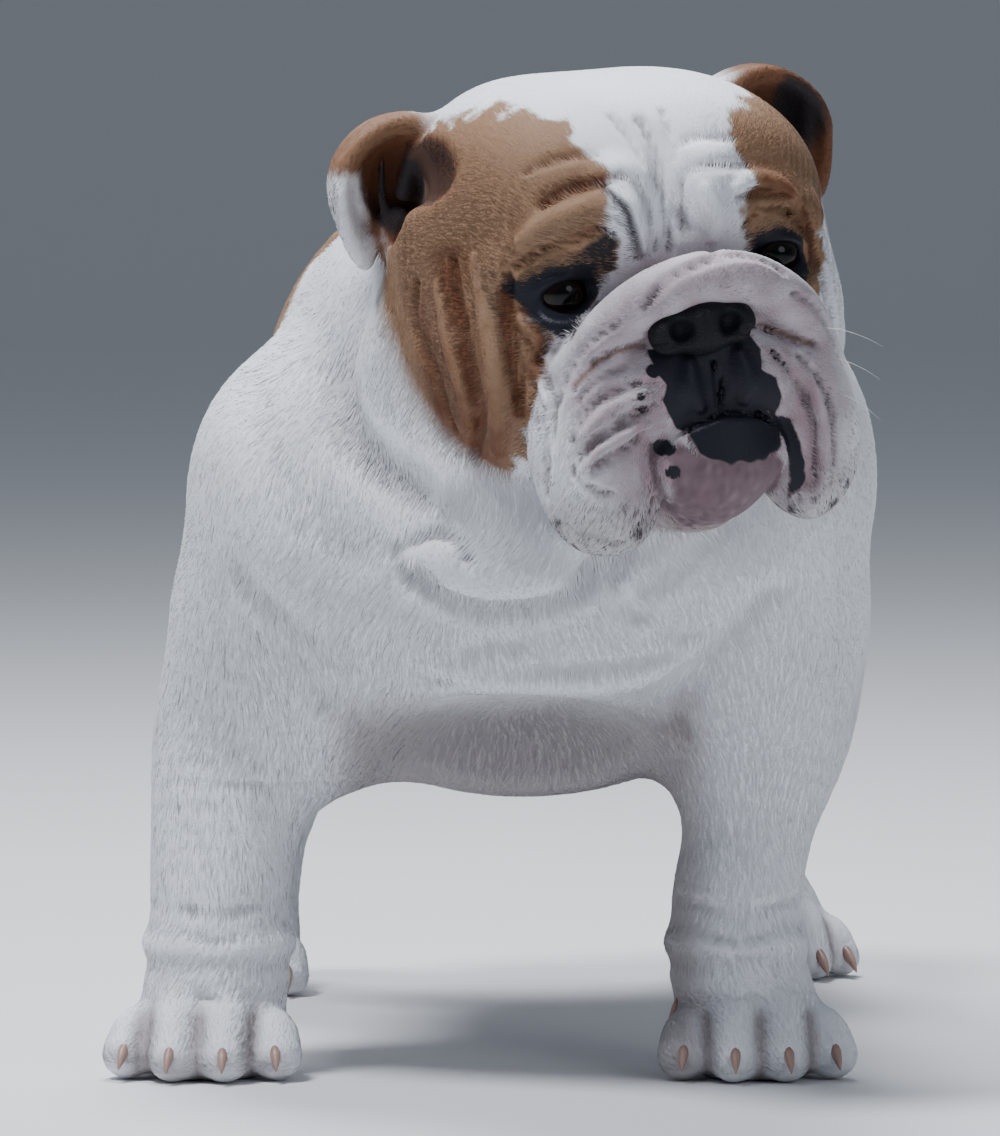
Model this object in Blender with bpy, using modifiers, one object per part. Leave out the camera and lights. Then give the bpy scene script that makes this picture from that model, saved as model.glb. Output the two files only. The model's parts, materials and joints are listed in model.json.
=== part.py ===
"""An adult English bulldog standing square, head turned to its left, at life size.

Each region of the animal is a list of masses: ellipsoids for muscle and bone, tapered tubes for limbs and folds,
and strokes that raise or groove the skin.  The masses are fused by a voxel Remesh, and the points of the fused
mesh are then moved on to the smoothly blended surface of the same masses.  The body is modelled whole and parted
with thin cuts into the pieces that a person would name.

Metres, +Z up.  The dog faces -Y, so its left side is +X.  The origin is the middle of the bounding box, on the floor.
"""

from math import cos, pi, radians, sin

import bmesh
import bpy
import numpy as np
from mathutils import Matrix, Vector

# Driving dimensions
PART_GAP = 0.0003           # between neighbouring pieces
FLOOR = 0.0
MID_X = 0.013               # the trunk's middle plane
WITHERS_HEIGHT = 0.368
BRISKET_HEIGHT = 0.117      # underside of the chest
CHEST_HALF_WIDTH = 0.130
FORE_PAW_WIDTH = 0.080
HIND_PAW_WIDTH = 0.068
FORE_PAW_HEIGHT = 0.046
HIND_PAW_HEIGHT = 0.040
TOES = ((-0.385, 0.011), (-0.135, 0.0), (0.135, 0.0), (0.385, 0.011))   # across / paw width, setback
TOE_REACH = 0.42            # from the sole's middle to a toe's tip, as a share of the paw's length
EYEBALL_RADIUS = 0.0125
EYE_SPREAD = 0.0465         # from the head's middle plane to the eyeball's centre
EYE_DEPTH = 0.0045          # how far the eyeball's centre lies behind the plane of the lids
EAR_SHIFT = {"right": (-0.002, 0.0), "left": (-0.0035, -0.006)}      # each ear's place, outward and upward
NOSE_X = -0.003             # the nose sits a little off the head's middle plane
CLAW_LENGTH = 0.014
CLAW_RADIUS = 0.0032

# The head's frame: its origin is midway between the eyes, x to the dog's left, y backward, z up
HEAD_ORIGIN = (0.0693, -0.130, 0.3453)
HEAD_YAW, HEAD_PITCH, HEAD_ROLL = 18, 3, -9.5

# Leg landmarks (x, y, z) for the dog's right (-X) and left (+X) sides
SIDES = {"right": -1, "left": 1}
ELBOW = {"right": (-0.1115, 0.022, 0.145), "left": (0.1135, 0.022, 0.145)}
FOREARM = {"right": (-0.1175, 0.012, 0.105), "left": (0.1068, 0.012, 0.105)}
WRIST = {"right": (-0.1200, 0.002, 0.055), "left": (0.1010, 0.002, 0.055)}
FORE_PAW = {"right": (-0.1244, -0.008, 0.0), "left": (0.1080, -0.008, 0.0)}
FORE_PAW_HEADING = {"right": -6, "left": 4}
STIFLE = {"right": (-0.080, 0.245, 0.170), "left": (0.104, 0.275, 0.170)}
HOCK = {"right": (-0.108, 0.362, 0.098), "left": (0.114, 0.418, 0.098)}
HIND_PAW = {"right": (-0.122, 0.325, 0.0), "left": (0.130, 0.398, 0.0)}
HIND_PAW_HEADING = {"right": -8, "left": 20}

# Triangles of each form, before the cuts that part it from its neighbours
BUDGET = {"body": 5000, "head": 3900, "lower_jaw": 400, "nose": 240, "ear": 560}
VOXEL = 0.0032              # edge of the fused mesh's faces
FINE_VOXEL = 0.0022         # the same, for the head


# ---------------------------------------------------------------- the blended surface

def smooth_curve(rows, steps=6):
    """Rows of (x, y, z, radius) filled in with a Catmull-Rom curve."""
    rows = np.array(rows, float)
    ends = np.vstack([2 * rows[0] - rows[1], rows, 2 * rows[-1] - rows[-2]])
    filled = []
    for a, b, c, d in zip(ends, ends[1:], ends[2:], ends[3:]):
        for t in np.linspace(0, 1, steps, endpoint=False):
            filled.append(0.5 * (2 * b + (c - a) * t + (2 * a - 5 * b + 4 * c - d) * t**2
                                 + (3 * b - a - 3 * c + d) * t**3))
    return np.array([*filled, rows[-1]])


def nearest_on_curve(points, curve):
    """For each point: its distance from the curve, and the curve's radius there, where their ratio is least."""
    best = np.full(len(points), np.inf)
    away, radius = best.copy(), best.copy()
    for start, end in zip(curve[:-1], curve[1:]):
        along = end[:3] - start[:3]
        t = np.clip((points - start[:3]) @ along / max(along @ along, 1e-12), 0, 1)
        distance = np.linalg.norm(points - start[:3] - t[:, None] * along, axis=1)
        width = start[3] + t * (end[3] - start[3])
        nearer = distance - width < best
        best[nearer] = (distance - width)[nearer]
        away[nearer], radius[nearer] = distance[nearer], width[nearer]
    return away, radius


def smooth_min(a, b, blend):
    overlap = np.maximum(blend - np.abs(a - b), 0) / blend
    return np.minimum(a, b) - overlap**2 * blend / 4


class Flesh:
    """Masses that blend into one surface.  Places are in the flesh's own frame."""

    def __init__(self, frame=None):
        self.frame = frame or Matrix.Identity(4)
        self.steps = []
        self.balls = []

    def place(self, point):
        return np.array(self.frame @ Vector(point))

    def ball(self, centre, radii, turn=(0, 0, 0), blend=0.02, cut=False):
        """An ellipsoid, turned by degrees about x, y and z.  With cut, it is taken away instead."""
        centre, radii = self.place(centre), np.array(radii, float)
        turned = self.frame.to_3x3()
        for angle, axis in zip(reversed(turn), "ZYX"):
            turned = turned @ Matrix.Rotation(radians(angle), 3, axis)
        turned = np.array(turned)

        def distance(points):
            local = (points - centre) @ turned
            near = np.linalg.norm(local / radii, axis=1)
            slope = np.maximum(np.linalg.norm(local / radii**2, axis=1), 1e-9)
            return near * (near - 1) / slope

        reach = radii.max() + blend
        self.steps.append((centre - reach, centre + reach, "cut" if cut else "add", blend, distance))
        if not cut:
            self.balls.append((centre, turned, radii))

    def tube(self, rows, blend=0.02, cut=False):
        """A round limb or fold through rows of (x, y, z, radius)."""
        curve = smooth_curve([[*self.place(row[:3]), row[3]] for row in rows])

        def distance(points):
            away, radius = nearest_on_curve(points, curve)
            return away - radius

        reach = curve[:, 3].max() + blend
        low, high = curve[:, :3].min(0) - reach, curve[:, :3].max(0) + reach
        self.steps.append((low, high, "cut" if cut else "add", blend, distance))
        if not cut:
            self.balls += [(row[:3], np.eye(3), np.full(3, row[3])) for row in curve]

    def stroke(self, rows, height):
        """Raises the surface along rows of (x, y, z, width), or grooves it where height is negative."""
        curve = smooth_curve([[*self.place(row[:3]), row[3]] for row in rows])

        def weight(points):
            away, width = nearest_on_curve(points, curve)
            return np.exp(-1.5 * (away / width) ** 2)

        reach = curve[:, 3].max() * 2.5
        low, high = curve[:, :3].min(0) - reach, curve[:, :3].max(0) + reach
        self.steps.append((low, high, "stroke", height, weight))

    def distance(self, points):
        """How far each point is outside the blended surface."""
        found = np.full(len(points), 1.0)
        for low, high, kind, amount, shape in self.steps:
            near = np.all((points > low) & (points < high), axis=1)
            if not near.any():
                continue
            value = shape(points[near])
            if kind == "add":
                found[near] = smooth_min(found[near], value, amount)
            elif kind == "cut":
                found[near] = -smooth_min(-found[near], value, amount)
            else:
                found[near] -= amount * value
        return found

    def drawn_on(self, points, rounds=3, most=0.004):
        """The points moved on to the blended surface, by at most the given distance each round."""
        corners = np.array([(1, 1, 1), (1, -1, -1), (-1, 1, -1), (-1, -1, 1)]) * 0.0003
        for _ in range(rounds):
            around = [self.distance(points + corner) for corner in corners]
            slope = sum(value[:, None] * corner for value, corner in zip(around, corners)) / (4 * 0.0003**2)
            steep = np.maximum((slope**2).sum(1), 0.05)
            move = -np.mean(around, axis=0)[:, None] * slope / steep[:, None]
            length = np.maximum(np.linalg.norm(move, axis=1, keepdims=True), 1e-12)
            points = points + move * np.minimum(1, most / length)
        return points

    def solid(self, name, voxel):
        """One closed object with this flesh's surface."""
        shape = bmesh.new()
        for centre, turned, radii in self.balls:
            place = Matrix.Translation(centre) @ Matrix(turned.tolist()).to_4x4()
            place = place @ Matrix.Diagonal((*(radii + voxel / 2), 1))
            bmesh.ops.create_icosphere(shape, subdivisions=3, radius=1, matrix=place)
        solid = object_of(name, shape)
        for _ in range(2):
            fuse = solid.modifiers.new("fuse", "REMESH")
            fuse.mode, fuse.voxel_size = "VOXEL", voxel
            bake(solid)
            points = np.empty(len(solid.data.vertices) * 3)
            solid.data.vertices.foreach_get("co", points)
            solid.data.vertices.foreach_set("co", self.drawn_on(points.reshape(-1, 3)).ravel())
            solid.data.update()
        return solid


# ---------------------------------------------------------------- objects

PARTS = bpy.data.collections.new("bulldog")
CUTTERS = bpy.data.collections.new("cutters")


def object_of(name, shape, collection=None):
    mesh = bpy.data.meshes.new(name)
    shape.to_mesh(mesh)
    shape.free()
    made = bpy.data.objects.new(name, mesh)
    (collection or PARTS).objects.link(made)
    return made


def bake(obj):
    """Applies the object's modifiers."""
    bpy.context.view_layer.update()
    mesh = bpy.data.meshes.new_from_object(obj.evaluated_get(bpy.context.evaluated_depsgraph_get()))
    obj.modifiers.clear()
    old, obj.data = obj.data, mesh
    bpy.data.meshes.remove(old)
    mesh.name = obj.name


def copy_of(obj, name, collection=None):
    made = bpy.data.objects.new(name, obj.data.copy())
    (collection or PARTS).objects.link(made)
    return made


def discard(*objects):
    for obj in objects:
        bpy.data.objects.remove(obj)


def boolean(obj, other, operation):
    """Cuts with the exact solver, or with the manifold one where the exact solver leaves nothing."""
    before = obj.data.copy()
    for solver in ("EXACT", "MANIFOLD"):
        step = obj.modifiers.new(operation.lower(), "BOOLEAN")
        step.operation, step.object, step.solver = operation, other, solver
        bake(obj)
        if obj.data.polygons:
            return
        obj.data = before.copy()


def grown(obj, gap=PART_GAP):
    """A cutter: the object swollen by the gap along its normals."""
    cutter = copy_of(obj, obj.name + "_cutter", CUTTERS)
    normals = np.array([v.normal for v in cutter.data.vertices])
    points = np.array([v.co for v in cutter.data.vertices])
    cutter.data.vertices.foreach_set("co", (points + 1.6 * gap * normals).ravel())
    cutter.data.update()
    return cutter


def cut_clear(obj, *others):
    """Cuts the object back from its neighbours, leaving the parting gap."""
    for other in others:
        cutter = grown(other)
        boolean(obj, cutter, "DIFFERENCE")
        discard(cutter)
    keep_largest(obj)


def keep_largest(obj):
    """Drops every loose piece of the mesh but the one with the largest box."""
    shape = bmesh.new()
    shape.from_mesh(obj.data)
    unseen, pieces = set(shape.verts), []
    while unseen:
        piece, front = set(), [unseen.pop()]
        while front:
            vert = front.pop()
            piece.add(vert)
            near = {edge.other_vert(vert) for edge in vert.link_edges} & unseen
            unseen -= near
            front += near
        pieces.append(piece)

    def size(piece):
        points = np.array([v.co for v in piece])
        return np.linalg.norm(points.max(0) - points.min(0))

    pieces.sort(key=size)
    for piece in pieces[:-1]:
        bmesh.ops.delete(shape, geom=list(piece), context="VERTS")
    shape.to_mesh(obj.data)
    shape.free()


def thin_out(obj, triangles):
    """Decimates the object to about that many triangles."""
    count = sum(len(face.vertices) - 2 for face in obj.data.polygons)
    if count > triangles:
        step = obj.modifiers.new("thin", "DECIMATE")
        step.ratio = triangles / count
        step.use_collapse_triangulate = True
        bake(obj)


def slice_off(obj, point, normal):
    """Removes what lies beyond the plane, on the side that the normal points to, and closes the cut."""
    shape = bmesh.new()
    shape.from_mesh(obj.data)
    geometry = [*shape.verts, *shape.edges, *shape.faces]
    cut = bmesh.ops.bisect_plane(shape, geom=geometry, plane_co=point, plane_no=normal, clear_outer=True)
    edges = [item for item in cut["geom_cut"] if isinstance(item, bmesh.types.BMEdge)]
    bmesh.ops.triangle_fill(shape, use_beauty=True, use_dissolve=False, edges=edges)
    bmesh.ops.recalc_face_normals(shape, faces=shape.faces)
    shape.to_mesh(obj.data)
    shape.free()


def box(name, low, high):
    shape = bmesh.new()
    middle, size = [(a + b) / 2 for a, b in zip(low, high)], [b - a for a, b in zip(low, high)]
    bmesh.ops.create_cube(shape, size=1, matrix=Matrix.Translation(middle) @ Matrix.Diagonal((*size, 1)))
    made = object_of(name, shape, CUTTERS)
    made.hide_render = True
    made.display_type = "WIRE"
    return made


# ---------------------------------------------------------------- the masses

HEAD_FRAME = (Matrix.Translation(HEAD_ORIGIN) @ Matrix.Rotation(radians(HEAD_YAW), 4, "Z")
              @ Matrix.Rotation(radians(HEAD_PITCH), 4, "X") @ Matrix.Rotation(radians(HEAD_ROLL), 4, "Y"))


def add_trunk(flesh):
    """Rib cage, brisket, loin, croup and belly."""
    rib_height = (WITHERS_HEIGHT + BRISKET_HEIGHT) / 2
    flesh.ball((MID_X, 0.110, rib_height - 0.007), (CHEST_HALF_WIDTH - 0.003, 0.155, 0.117), blend=0.03)
    flesh.ball((MID_X - 0.003, -0.012, 0.220), (0.112, 0.090, 0.072), blend=0.05)
    flesh.ball((MID_X - 0.004, 0.045, 0.166), (0.088, 0.085, 0.048), blend=0.03)
    flesh.ball((MID_X + 0.004, 0.228, 0.291), (0.086, 0.100, 0.079), blend=0.05)
    flesh.ball((MID_X + 0.004, 0.302, 0.264), (0.088, 0.072, 0.080), blend=0.05)
    flesh.ball((MID_X, 0.195, 0.225), (0.092, 0.110, 0.070), blend=0.05)
    flesh.ball((MID_X, 0.060, 0.312), (0.088, 0.095, 0.054), blend=0.05)


def add_neck(flesh):
    flesh.tube([(0.014, 0.060, 0.288, 0.103), (0.024, 0.000, 0.300, 0.103),
                (0.036, -0.030, 0.312, 0.090), (0.044, -0.048, 0.325, 0.070)], blend=0.04)
    flesh.ball((0.050, -0.056, 0.262), (0.056, 0.046, 0.046), blend=0.05)


def add_shoulders(flesh):
    for side, sign in SIDES.items():
        lift = 0.012 if side == "left" else 0.0
        middle = MID_X - 0.007 + lift * 0.9
        inward = 0.008 if side == "right" else 0.004
        out = 0.097 - inward
        flesh.ball((middle + sign * out, 0.000, 0.232 + lift), (0.050, 0.072, 0.076), (0, sign * 10, 0), 0.03)
        flesh.ball((middle + sign * (0.104 - 3.2 * inward), 0.012, 0.178), (0.038, 0.058, 0.056), blend=0.03)


def add_front_leg(flesh, side):
    (ex, ey, ez), (fx, fy, fz), (wx, wy, wz) = ELBOW[side], FOREARM[side], WRIST[side]
    slim = 0.0 if side == "right" else 0.002
    top_x = ex if side == "left" else ex + 0.007
    top, elbow, forearm = (0.036, 0.0345, 0.0280) if side == "left" else (0.035, 0.0375, 0.0325)
    flesh.tube([(top_x, ey - 0.012, ez + 0.045, top), (ex, ey, ez, elbow), (fx, fy, fz, forearm),
                (wx, wy + 0.002, wz + 0.018, 0.0300 - slim), (wx, wy, wz - 0.010, 0.0290 - slim)], blend=0.03)
    flesh.ball((wx, wy, wz + 0.001), (0.0335 - slim, 0.032, 0.013), blend=0.006)


def add_hind_leg(flesh, side):
    sign = SIDES[side]
    (sx, sy, sz), (hx, hy, hz), (px, py, _) = STIFLE[side], HOCK[side], HIND_PAW[side]
    px -= sign * 0.006
    flesh.ball((sx + sign * -0.012, sy + 0.044, sz + 0.055), (0.048, 0.074, 0.088), (0, sign * -10, 0), 0.04)
    flesh.tube([(sx, sy + 0.010, sz + 0.010, 0.046), ((sx + hx) / 2, (sy + hy) / 2 + 0.008, (sz + hz) / 2, 0.034),
                (hx, hy, hz, 0.0225)], blend=0.03)
    flesh.tube([(hx, hy, hz, 0.0225), ((hx + px) / 2, hy - 0.008, hz * 0.62, 0.0205), (px, py + 0.022, 0.028, 0.0215)],
               blend=0.02)


def add_paw(flesh, centre, heading, width):
    """Pads and four arched toes that fan out from the middle of the sole."""
    paw = Flesh(Matrix.Translation(centre) @ Matrix.Rotation(radians(heading), 4, "Z"))
    length = 0.9 * width
    paw.ball((0, 0.006, 0.022), (width * 0.39, length * 0.40, 0.026), blend=0.015)
    paw.ball((0, -0.008, 0.010), (width * 0.40, length * 0.36, 0.013), blend=0.010)
    for across, setback in TOES:
        x, tip = across * width, setback - length * TOE_REACH
        thick, sink = width * 0.148, 0.008 * (abs(across) > 0.3)
        paw.tube([(x * 0.66, 0.004, 0.028 - sink, thick), (x * 0.90, tip * 0.5, 0.0265 - sink, thick * 1.04),
                  (x * 1.04, tip, thick * 0.92, thick * 0.96)], blend=0.006)
    flesh.steps += paw.steps
    flesh.balls += paw.balls


def toe_tips(centre, heading, width):
    """Where each claw leaves its toe, and the way that it points."""
    place = Matrix.Translation(centre) @ Matrix.Rotation(radians(heading), 4, "Z")
    for across, setback in TOES:
        tip = Vector((across * width * 1.04, setback - 0.9 * width * TOE_REACH - 0.007, width * 0.185))
        yield place @ tip, (place.to_3x3() @ Vector((across * 0.5, -1, 0))).normalized()


def add_tail(flesh):
    """Short, thick at the root, carried low with a slight kink."""
    x = MID_X + 0.004
    flesh.tube([(x, 0.348, 0.300, 0.026), (x, 0.378, 0.288, 0.018), (x + 0.004, 0.390, 0.266, 0.013),
                (x - 0.002, 0.396, 0.246, 0.0085)], blend=0.02)


def add_skull(flesh):
    """Broad flat skull, short forehead, the jaw's base, and cheeks that carry the head's full width."""
    flesh.ball((0, 0.068, 0.024), (0.087, 0.074, 0.056), blend=0.03)
    flesh.ball((-0.046, 0.066, 0.038), (0.037, 0.050, 0.037), blend=0.03)
    flesh.ball((0, 0.030, 0.024), (0.066, 0.045, 0.047), blend=0.03)
    flesh.ball((0, 0.060, -0.040), (0.066, 0.068, 0.046), blend=0.03)
    for side in (-1, 1):
        inward = 0.0055 if side > 0 else 0.0
        flesh.ball((side * (0.061 - inward), 0.074, -0.024), (0.035, 0.046, 0.060), blend=0.03)
        flesh.ball((side * (0.056 - inward), 0.030, -0.030), (0.033, 0.034, 0.046), blend=0.02)


def add_brow(flesh):
    """Pads over the stop, hooded brows, and lids that wrap the eyeballs."""
    for side in (-1, 1):
        flesh.ball((side * 0.0180, -0.0075, 0.0290), (0.0155, 0.0140, 0.0230), (0, side * 8, 0), 0.006)
        flesh.tube([(side * 0.030, -0.0060, 0.0200, 0.0090), (side * 0.047, -0.0010, 0.0210, 0.0095),
                    (side * 0.064, 0.0130, 0.0120, 0.0090)], blend=0.010)
        flesh.ball((side * EYE_SPREAD, EYE_DEPTH + 0.0010, -0.0005), (0.0165, 0.0140, 0.0150), blend=0.006)
        flesh.ball((side * 0.046, -0.0040, -0.0150), (0.0150, 0.0100, 0.0080), (0, side * -20, 0), 0.008)
        flesh.ball((side * 0.0460, -0.0120, -0.0010), (0.0135, 0.0110, 0.0098), (0, side * 6, 0), 0.003, cut=True)
    flesh.stroke([(0, -0.020, 0.006, 0.005), (0, -0.018, 0.030, 0.005), (0, -0.006, 0.055, 0.006)], -0.004)


def add_nose_roll(flesh):
    """The thick fold that crosses over the nose and runs down into the lips on both sides."""
    half = [(0.000, -0.0370, 0.0005, 0.0110), (0.018, -0.0365, -0.0025, 0.0112), (0.033, -0.0315, -0.0110, 0.0115),
            (0.045, -0.0240, -0.0240, 0.0118), (0.054, -0.0150, -0.0440, 0.0118), (0.060, -0.0050, -0.0660, 0.0110)]
    left = [(min(x, 0.052), y, z, r) for x, y, z, r in half]
    flesh.tube([(-x, y, z, r) for x, y, z, r in reversed(half[1:])] + left, blend=0.006)


def add_muzzle(flesh):
    """Deep hanging lips either side of the philtrum."""
    flesh.ball((0, -0.018, -0.040), (0.048, 0.026, 0.034), blend=0.012)
    for side in (-1, 1):
        inward = 0.0055 if side > 0 else 0.0
        flesh.ball((side * (0.047 - inward), -0.0130, -0.0640), (0.0260, 0.0280, 0.0440), (0, side * -6, 0), 0.010)
        flesh.ball((side * 0.020, -0.0320, -0.0440), (0.0200, 0.0130, 0.0180), (0, side * 20, 0), 0.006)
        flesh.ball((side * (0.041 - inward), -0.0230, -0.0840), (0.0160, 0.0160, 0.0240), (0, side * -14, 0), 0.008)
    flesh.stroke([(0, -0.046, -0.028, 0.0030), (0, -0.046, -0.052, 0.0030)], -0.004)


def add_face_folds(flesh):
    """Upright creases behind the eye and on the cheek, and the creases over each brow."""
    for side in (-1, 1):
        for height, rows in (
            (-0.0040, [(0.063, 0.006, 0.004, 0.002), (0.066, 0.002, -0.022, 0.005), (0.071, 0.002, -0.050, 0.002)]),
            (-0.0035, [(0.078, 0.024, 0.004, 0.002), (0.085, 0.020, -0.030, 0.006), (0.079, 0.012, -0.068, 0.002)]),
            (-0.0030, [(0.093, 0.045, -0.004, 0.002), (0.096, 0.045, -0.035, 0.006), (0.086, 0.036, -0.072, 0.002)]),
            (-0.0030, [(0.066, 0.004, 0.016, 0.002), (0.050, -0.008, 0.031, 0.005), (0.034, -0.012, 0.036, 0.002)]),
            (-0.0018, [(0.060, 0.004, 0.036, 0.002), (0.044, -0.004, 0.046, 0.005), (0.028, -0.009, 0.051, 0.002)]),
        ):
            flesh.stroke([(side * x, y, z, width) for x, y, z, width in rows], height)


def add_lower_jaw(flesh):
    """The chin juts between the lips, and the jaw runs back under the throat."""
    flesh.ball((0, -0.0300, -0.0740), (0.0310, 0.0220, 0.0205), blend=0.012)
    flesh.ball((0, -0.0340, -0.0600), (0.0230, 0.0150, 0.0080), blend=0.008)
    flesh.tube([(0, -0.018, -0.083, 0.0200), (0, 0.010, -0.085, 0.0250), (0, 0.036, -0.078, 0.0285)], blend=0.012)


def add_nose(flesh):
    """The broad nose pad with its two nostrils."""
    flesh.ball((NOSE_X, -0.0360, -0.0175), (0.0195, 0.0130, 0.0120), blend=0.004)
    flesh.ball((NOSE_X, -0.0430, -0.0190), (0.0115, 0.0080, 0.0100), blend=0.006)
    for side in (-1, 1):
        flesh.ball((NOSE_X + side * 0.0150, -0.0420, -0.0190), (0.0080, 0.0075, 0.0085), blend=0.004)
        flesh.ball((NOSE_X + side * 0.0105, -0.0520, -0.0180), (0.0046, 0.0085, 0.0050), (0, side * 25, 0), 0.003, True)
        flesh.tube([(NOSE_X + side * 0.0115, -0.0510, -0.0205, 0.0022), (NOSE_X + side * 0.0165, -0.0490, -0.0235, 0.0018),
                    (NOSE_X + side * 0.0220, -0.0430, -0.0240, 0.0014)], blend=0.002, cut=True)


def add_ear(flesh, side):
    """A rose ear: a cup on the skull's back corner that opens forward, with a flap that hangs from its outer rim."""
    sign, (out, lift) = SIDES[side], EAR_SHIFT[side]

    def at(x, y, z, *radius):
        return (sign * (x + out), y, z + lift, *radius)

    flesh.ball(at(0.082, 0.097, 0.046), (0.032, 0.017, 0.029), (0, sign * 12, 0), 0.006)
    flesh.tube([at(0.060, 0.086, 0.0620, 0.0100), at(0.084, 0.084, 0.0690, 0.0062),
                at(0.101, 0.086, 0.0600, 0.0055), at(0.107, 0.088, 0.0450, 0.0050)], 0.006)
    flesh.ball(at(0.1035, 0.0930, 0.0360), (0.0105, 0.0080, 0.0240), (0, sign * 6, sign * -25), 0.006)
    flesh.ball(at(0.0840, 0.0810, 0.0440), (0.0180, 0.0180, 0.0170), (0, sign * 12, 0), 0.004, cut=True)
    flesh.ball(at(0.1000, 0.0830, 0.0350), (0.0070, 0.0080, 0.0180), (0, sign * 6, 0), 0.003, cut=True)
    flesh.ball(at(0.0870, 0.0890, 0.0280), (0.0080, 0.0080, 0.0110), blend=0.004)
    flesh.tube([at(0.078, 0.086, 0.0620, 0.0040), at(0.084, 0.088, 0.0420, 0.0045)], 0.003)


# ---------------------------------------------------------------- pieces with a form of their own

def eyeball(name, side):
    shape = bmesh.new()
    centre = HEAD_FRAME @ Vector((side * EYE_SPREAD, EYE_DEPTH, 0))
    bmesh.ops.create_icosphere(shape, subdivisions=3, radius=EYEBALL_RADIUS, matrix=Matrix.Translation(centre))
    return object_of(name, shape)


def claw(tip, way):
    """A short claw that curves down from its toe and stays just clear of the floor."""
    shape = bmesh.new()
    sides, rings = 6, 4
    rows = []
    for i in range(rings):
        t = i / rings
        bend = radians(10 + 55 * t)
        middle = Vector(tip) + way * (CLAW_LENGTH * (t * cos(bend * 0.5)) - 0.004)
        middle.z -= CLAW_LENGTH * t * sin(bend * 0.5)
        radius = CLAW_RADIUS * (1 - 0.65 * t)
        side = way.cross(Vector((0, 0, 1)))
        up = Vector((0, 0, 1)) * cos(bend * 0.6) + way * sin(bend * 0.6)
        rows.append([shape.verts.new(middle + side * radius * 0.8 * cos(a) + up * radius * sin(a))
                     for a in (2 * pi * j / sides for j in range(sides))])
    end = shape.verts.new(Vector(tip) + way * (CLAW_LENGTH * 0.80 - 0.004) + Vector((0, 0, -CLAW_LENGTH * 0.62)))
    for first, second in zip(rows[:-1], rows[1:]):
        for j in range(sides):
            shape.faces.new((first[j], first[j - 1], second[j - 1], second[j]))
    for j in range(sides):
        shape.faces.new((rows[-1][j], rows[-1][j - 1], end))
    shape.faces.new(rows[0])
    bmesh.ops.recalc_face_normals(shape, faces=shape.faces)
    return object_of("claw", shape, CUTTERS)


def add_claws(paw, tips):
    """Unites a claw to each toe of the paw."""
    group = bpy.data.collections.new("claws")
    bpy.context.scene.collection.children.link(group)
    for tip, way in tips:
        nail = claw(tip, way)
        CUTTERS.objects.unlink(nail)
        group.objects.link(nail)
    step = paw.modifiers.new("claws", "BOOLEAN")
    step.operation, step.operand_type, step.collection, step.solver = "UNION", "COLLECTION", group, "EXACT"
    bake(paw)
    discard(*group.objects)
    bpy.data.collections.remove(group)
    keep_largest(paw)


# ---------------------------------------------------------------- materials

def paint(name, colour, roughness):
    material = bpy.data.materials.new(name)
    material.use_nodes = True
    shader = material.node_tree.nodes["Principled BSDF"]
    shader.inputs["Base Color"].default_value = (*colour, 1)
    shader.inputs["Roughness"].default_value = roughness
    material.diffuse_color = (*colour, 1)
    return material


def finish(obj, material):
    obj.data.materials.clear()
    obj.data.materials.append(material)
    obj.data.shade_smooth()
    obj.data.set_sharp_from_angle(angle=radians(50))


# ---------------------------------------------------------------- the dog

def region(obj, low, high, gap=0.0):
    """Keeps what lies in the box."""
    cutter = box(obj.name + "_region", [v + gap for v in low], [v - gap for v in high])
    boolean(obj, cutter, "INTERSECT")
    discard(cutter)


def outside(obj, low, high):
    """Keeps what lies out of the box."""
    cutter = box(obj.name + "_room", low, high)
    boolean(obj, cutter, "DIFFERENCE")
    discard(cutter)


FAR = 1.0
NECK_CUT = ((MID_X, -0.015, 0.2935), (0.0, -0.616, 0.788))
LEG_TOP = 0.150
LEG_ROOM = {
    ("front", "right"): ((-FAR, -0.075, -FAR), (-0.0745, 0.090, LEG_TOP)),
    ("front", "left"): ((0.0735, -0.075, -FAR), (FAR, 0.090, LEG_TOP)),
    ("hind", "right"): ((-FAR, 0.180, -FAR), (-0.030, 0.500, 0.205)),
    ("hind", "left"): ((0.056, 0.200, -FAR), (FAR, 0.520, 0.205)),
}
TAIL_ROOM = ((MID_X - 0.035, 0.3745, 0.225), (MID_X + 0.045, FAR, 0.335))
HIND_GAP = PART_GAP / 2


def shrink_room(room):
    low, high = room
    return [v + PART_GAP / 2 for v in low], [v - PART_GAP / 2 for v in high]


def grow_room(room):
    low, high = room
    return [v - PART_GAP / 2 for v in low], [v + PART_GAP / 2 for v in high]


def build_body():
    """The whole body without its head, before it is parted."""
    flesh = Flesh()
    add_trunk(flesh)
    add_neck(flesh)
    add_shoulders(flesh)
    for side in SIDES:
        add_front_leg(flesh, side)
        add_hind_leg(flesh, side)
        add_paw(flesh, FORE_PAW[side], FORE_PAW_HEADING[side], FORE_PAW_WIDTH)
        add_paw(flesh, HIND_PAW[side], HIND_PAW_HEADING[side], HIND_PAW_WIDTH)
    add_tail(flesh)
    body = flesh.solid("body", VOXEL)
    thin_out(body, BUDGET["body"])
    return body


def piece(name, body, cuts):
    """A piece of the body: what the cuts leave of it."""
    made = copy_of(body, name)
    cuts(made)
    keep_largest(made)
    return made


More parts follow.
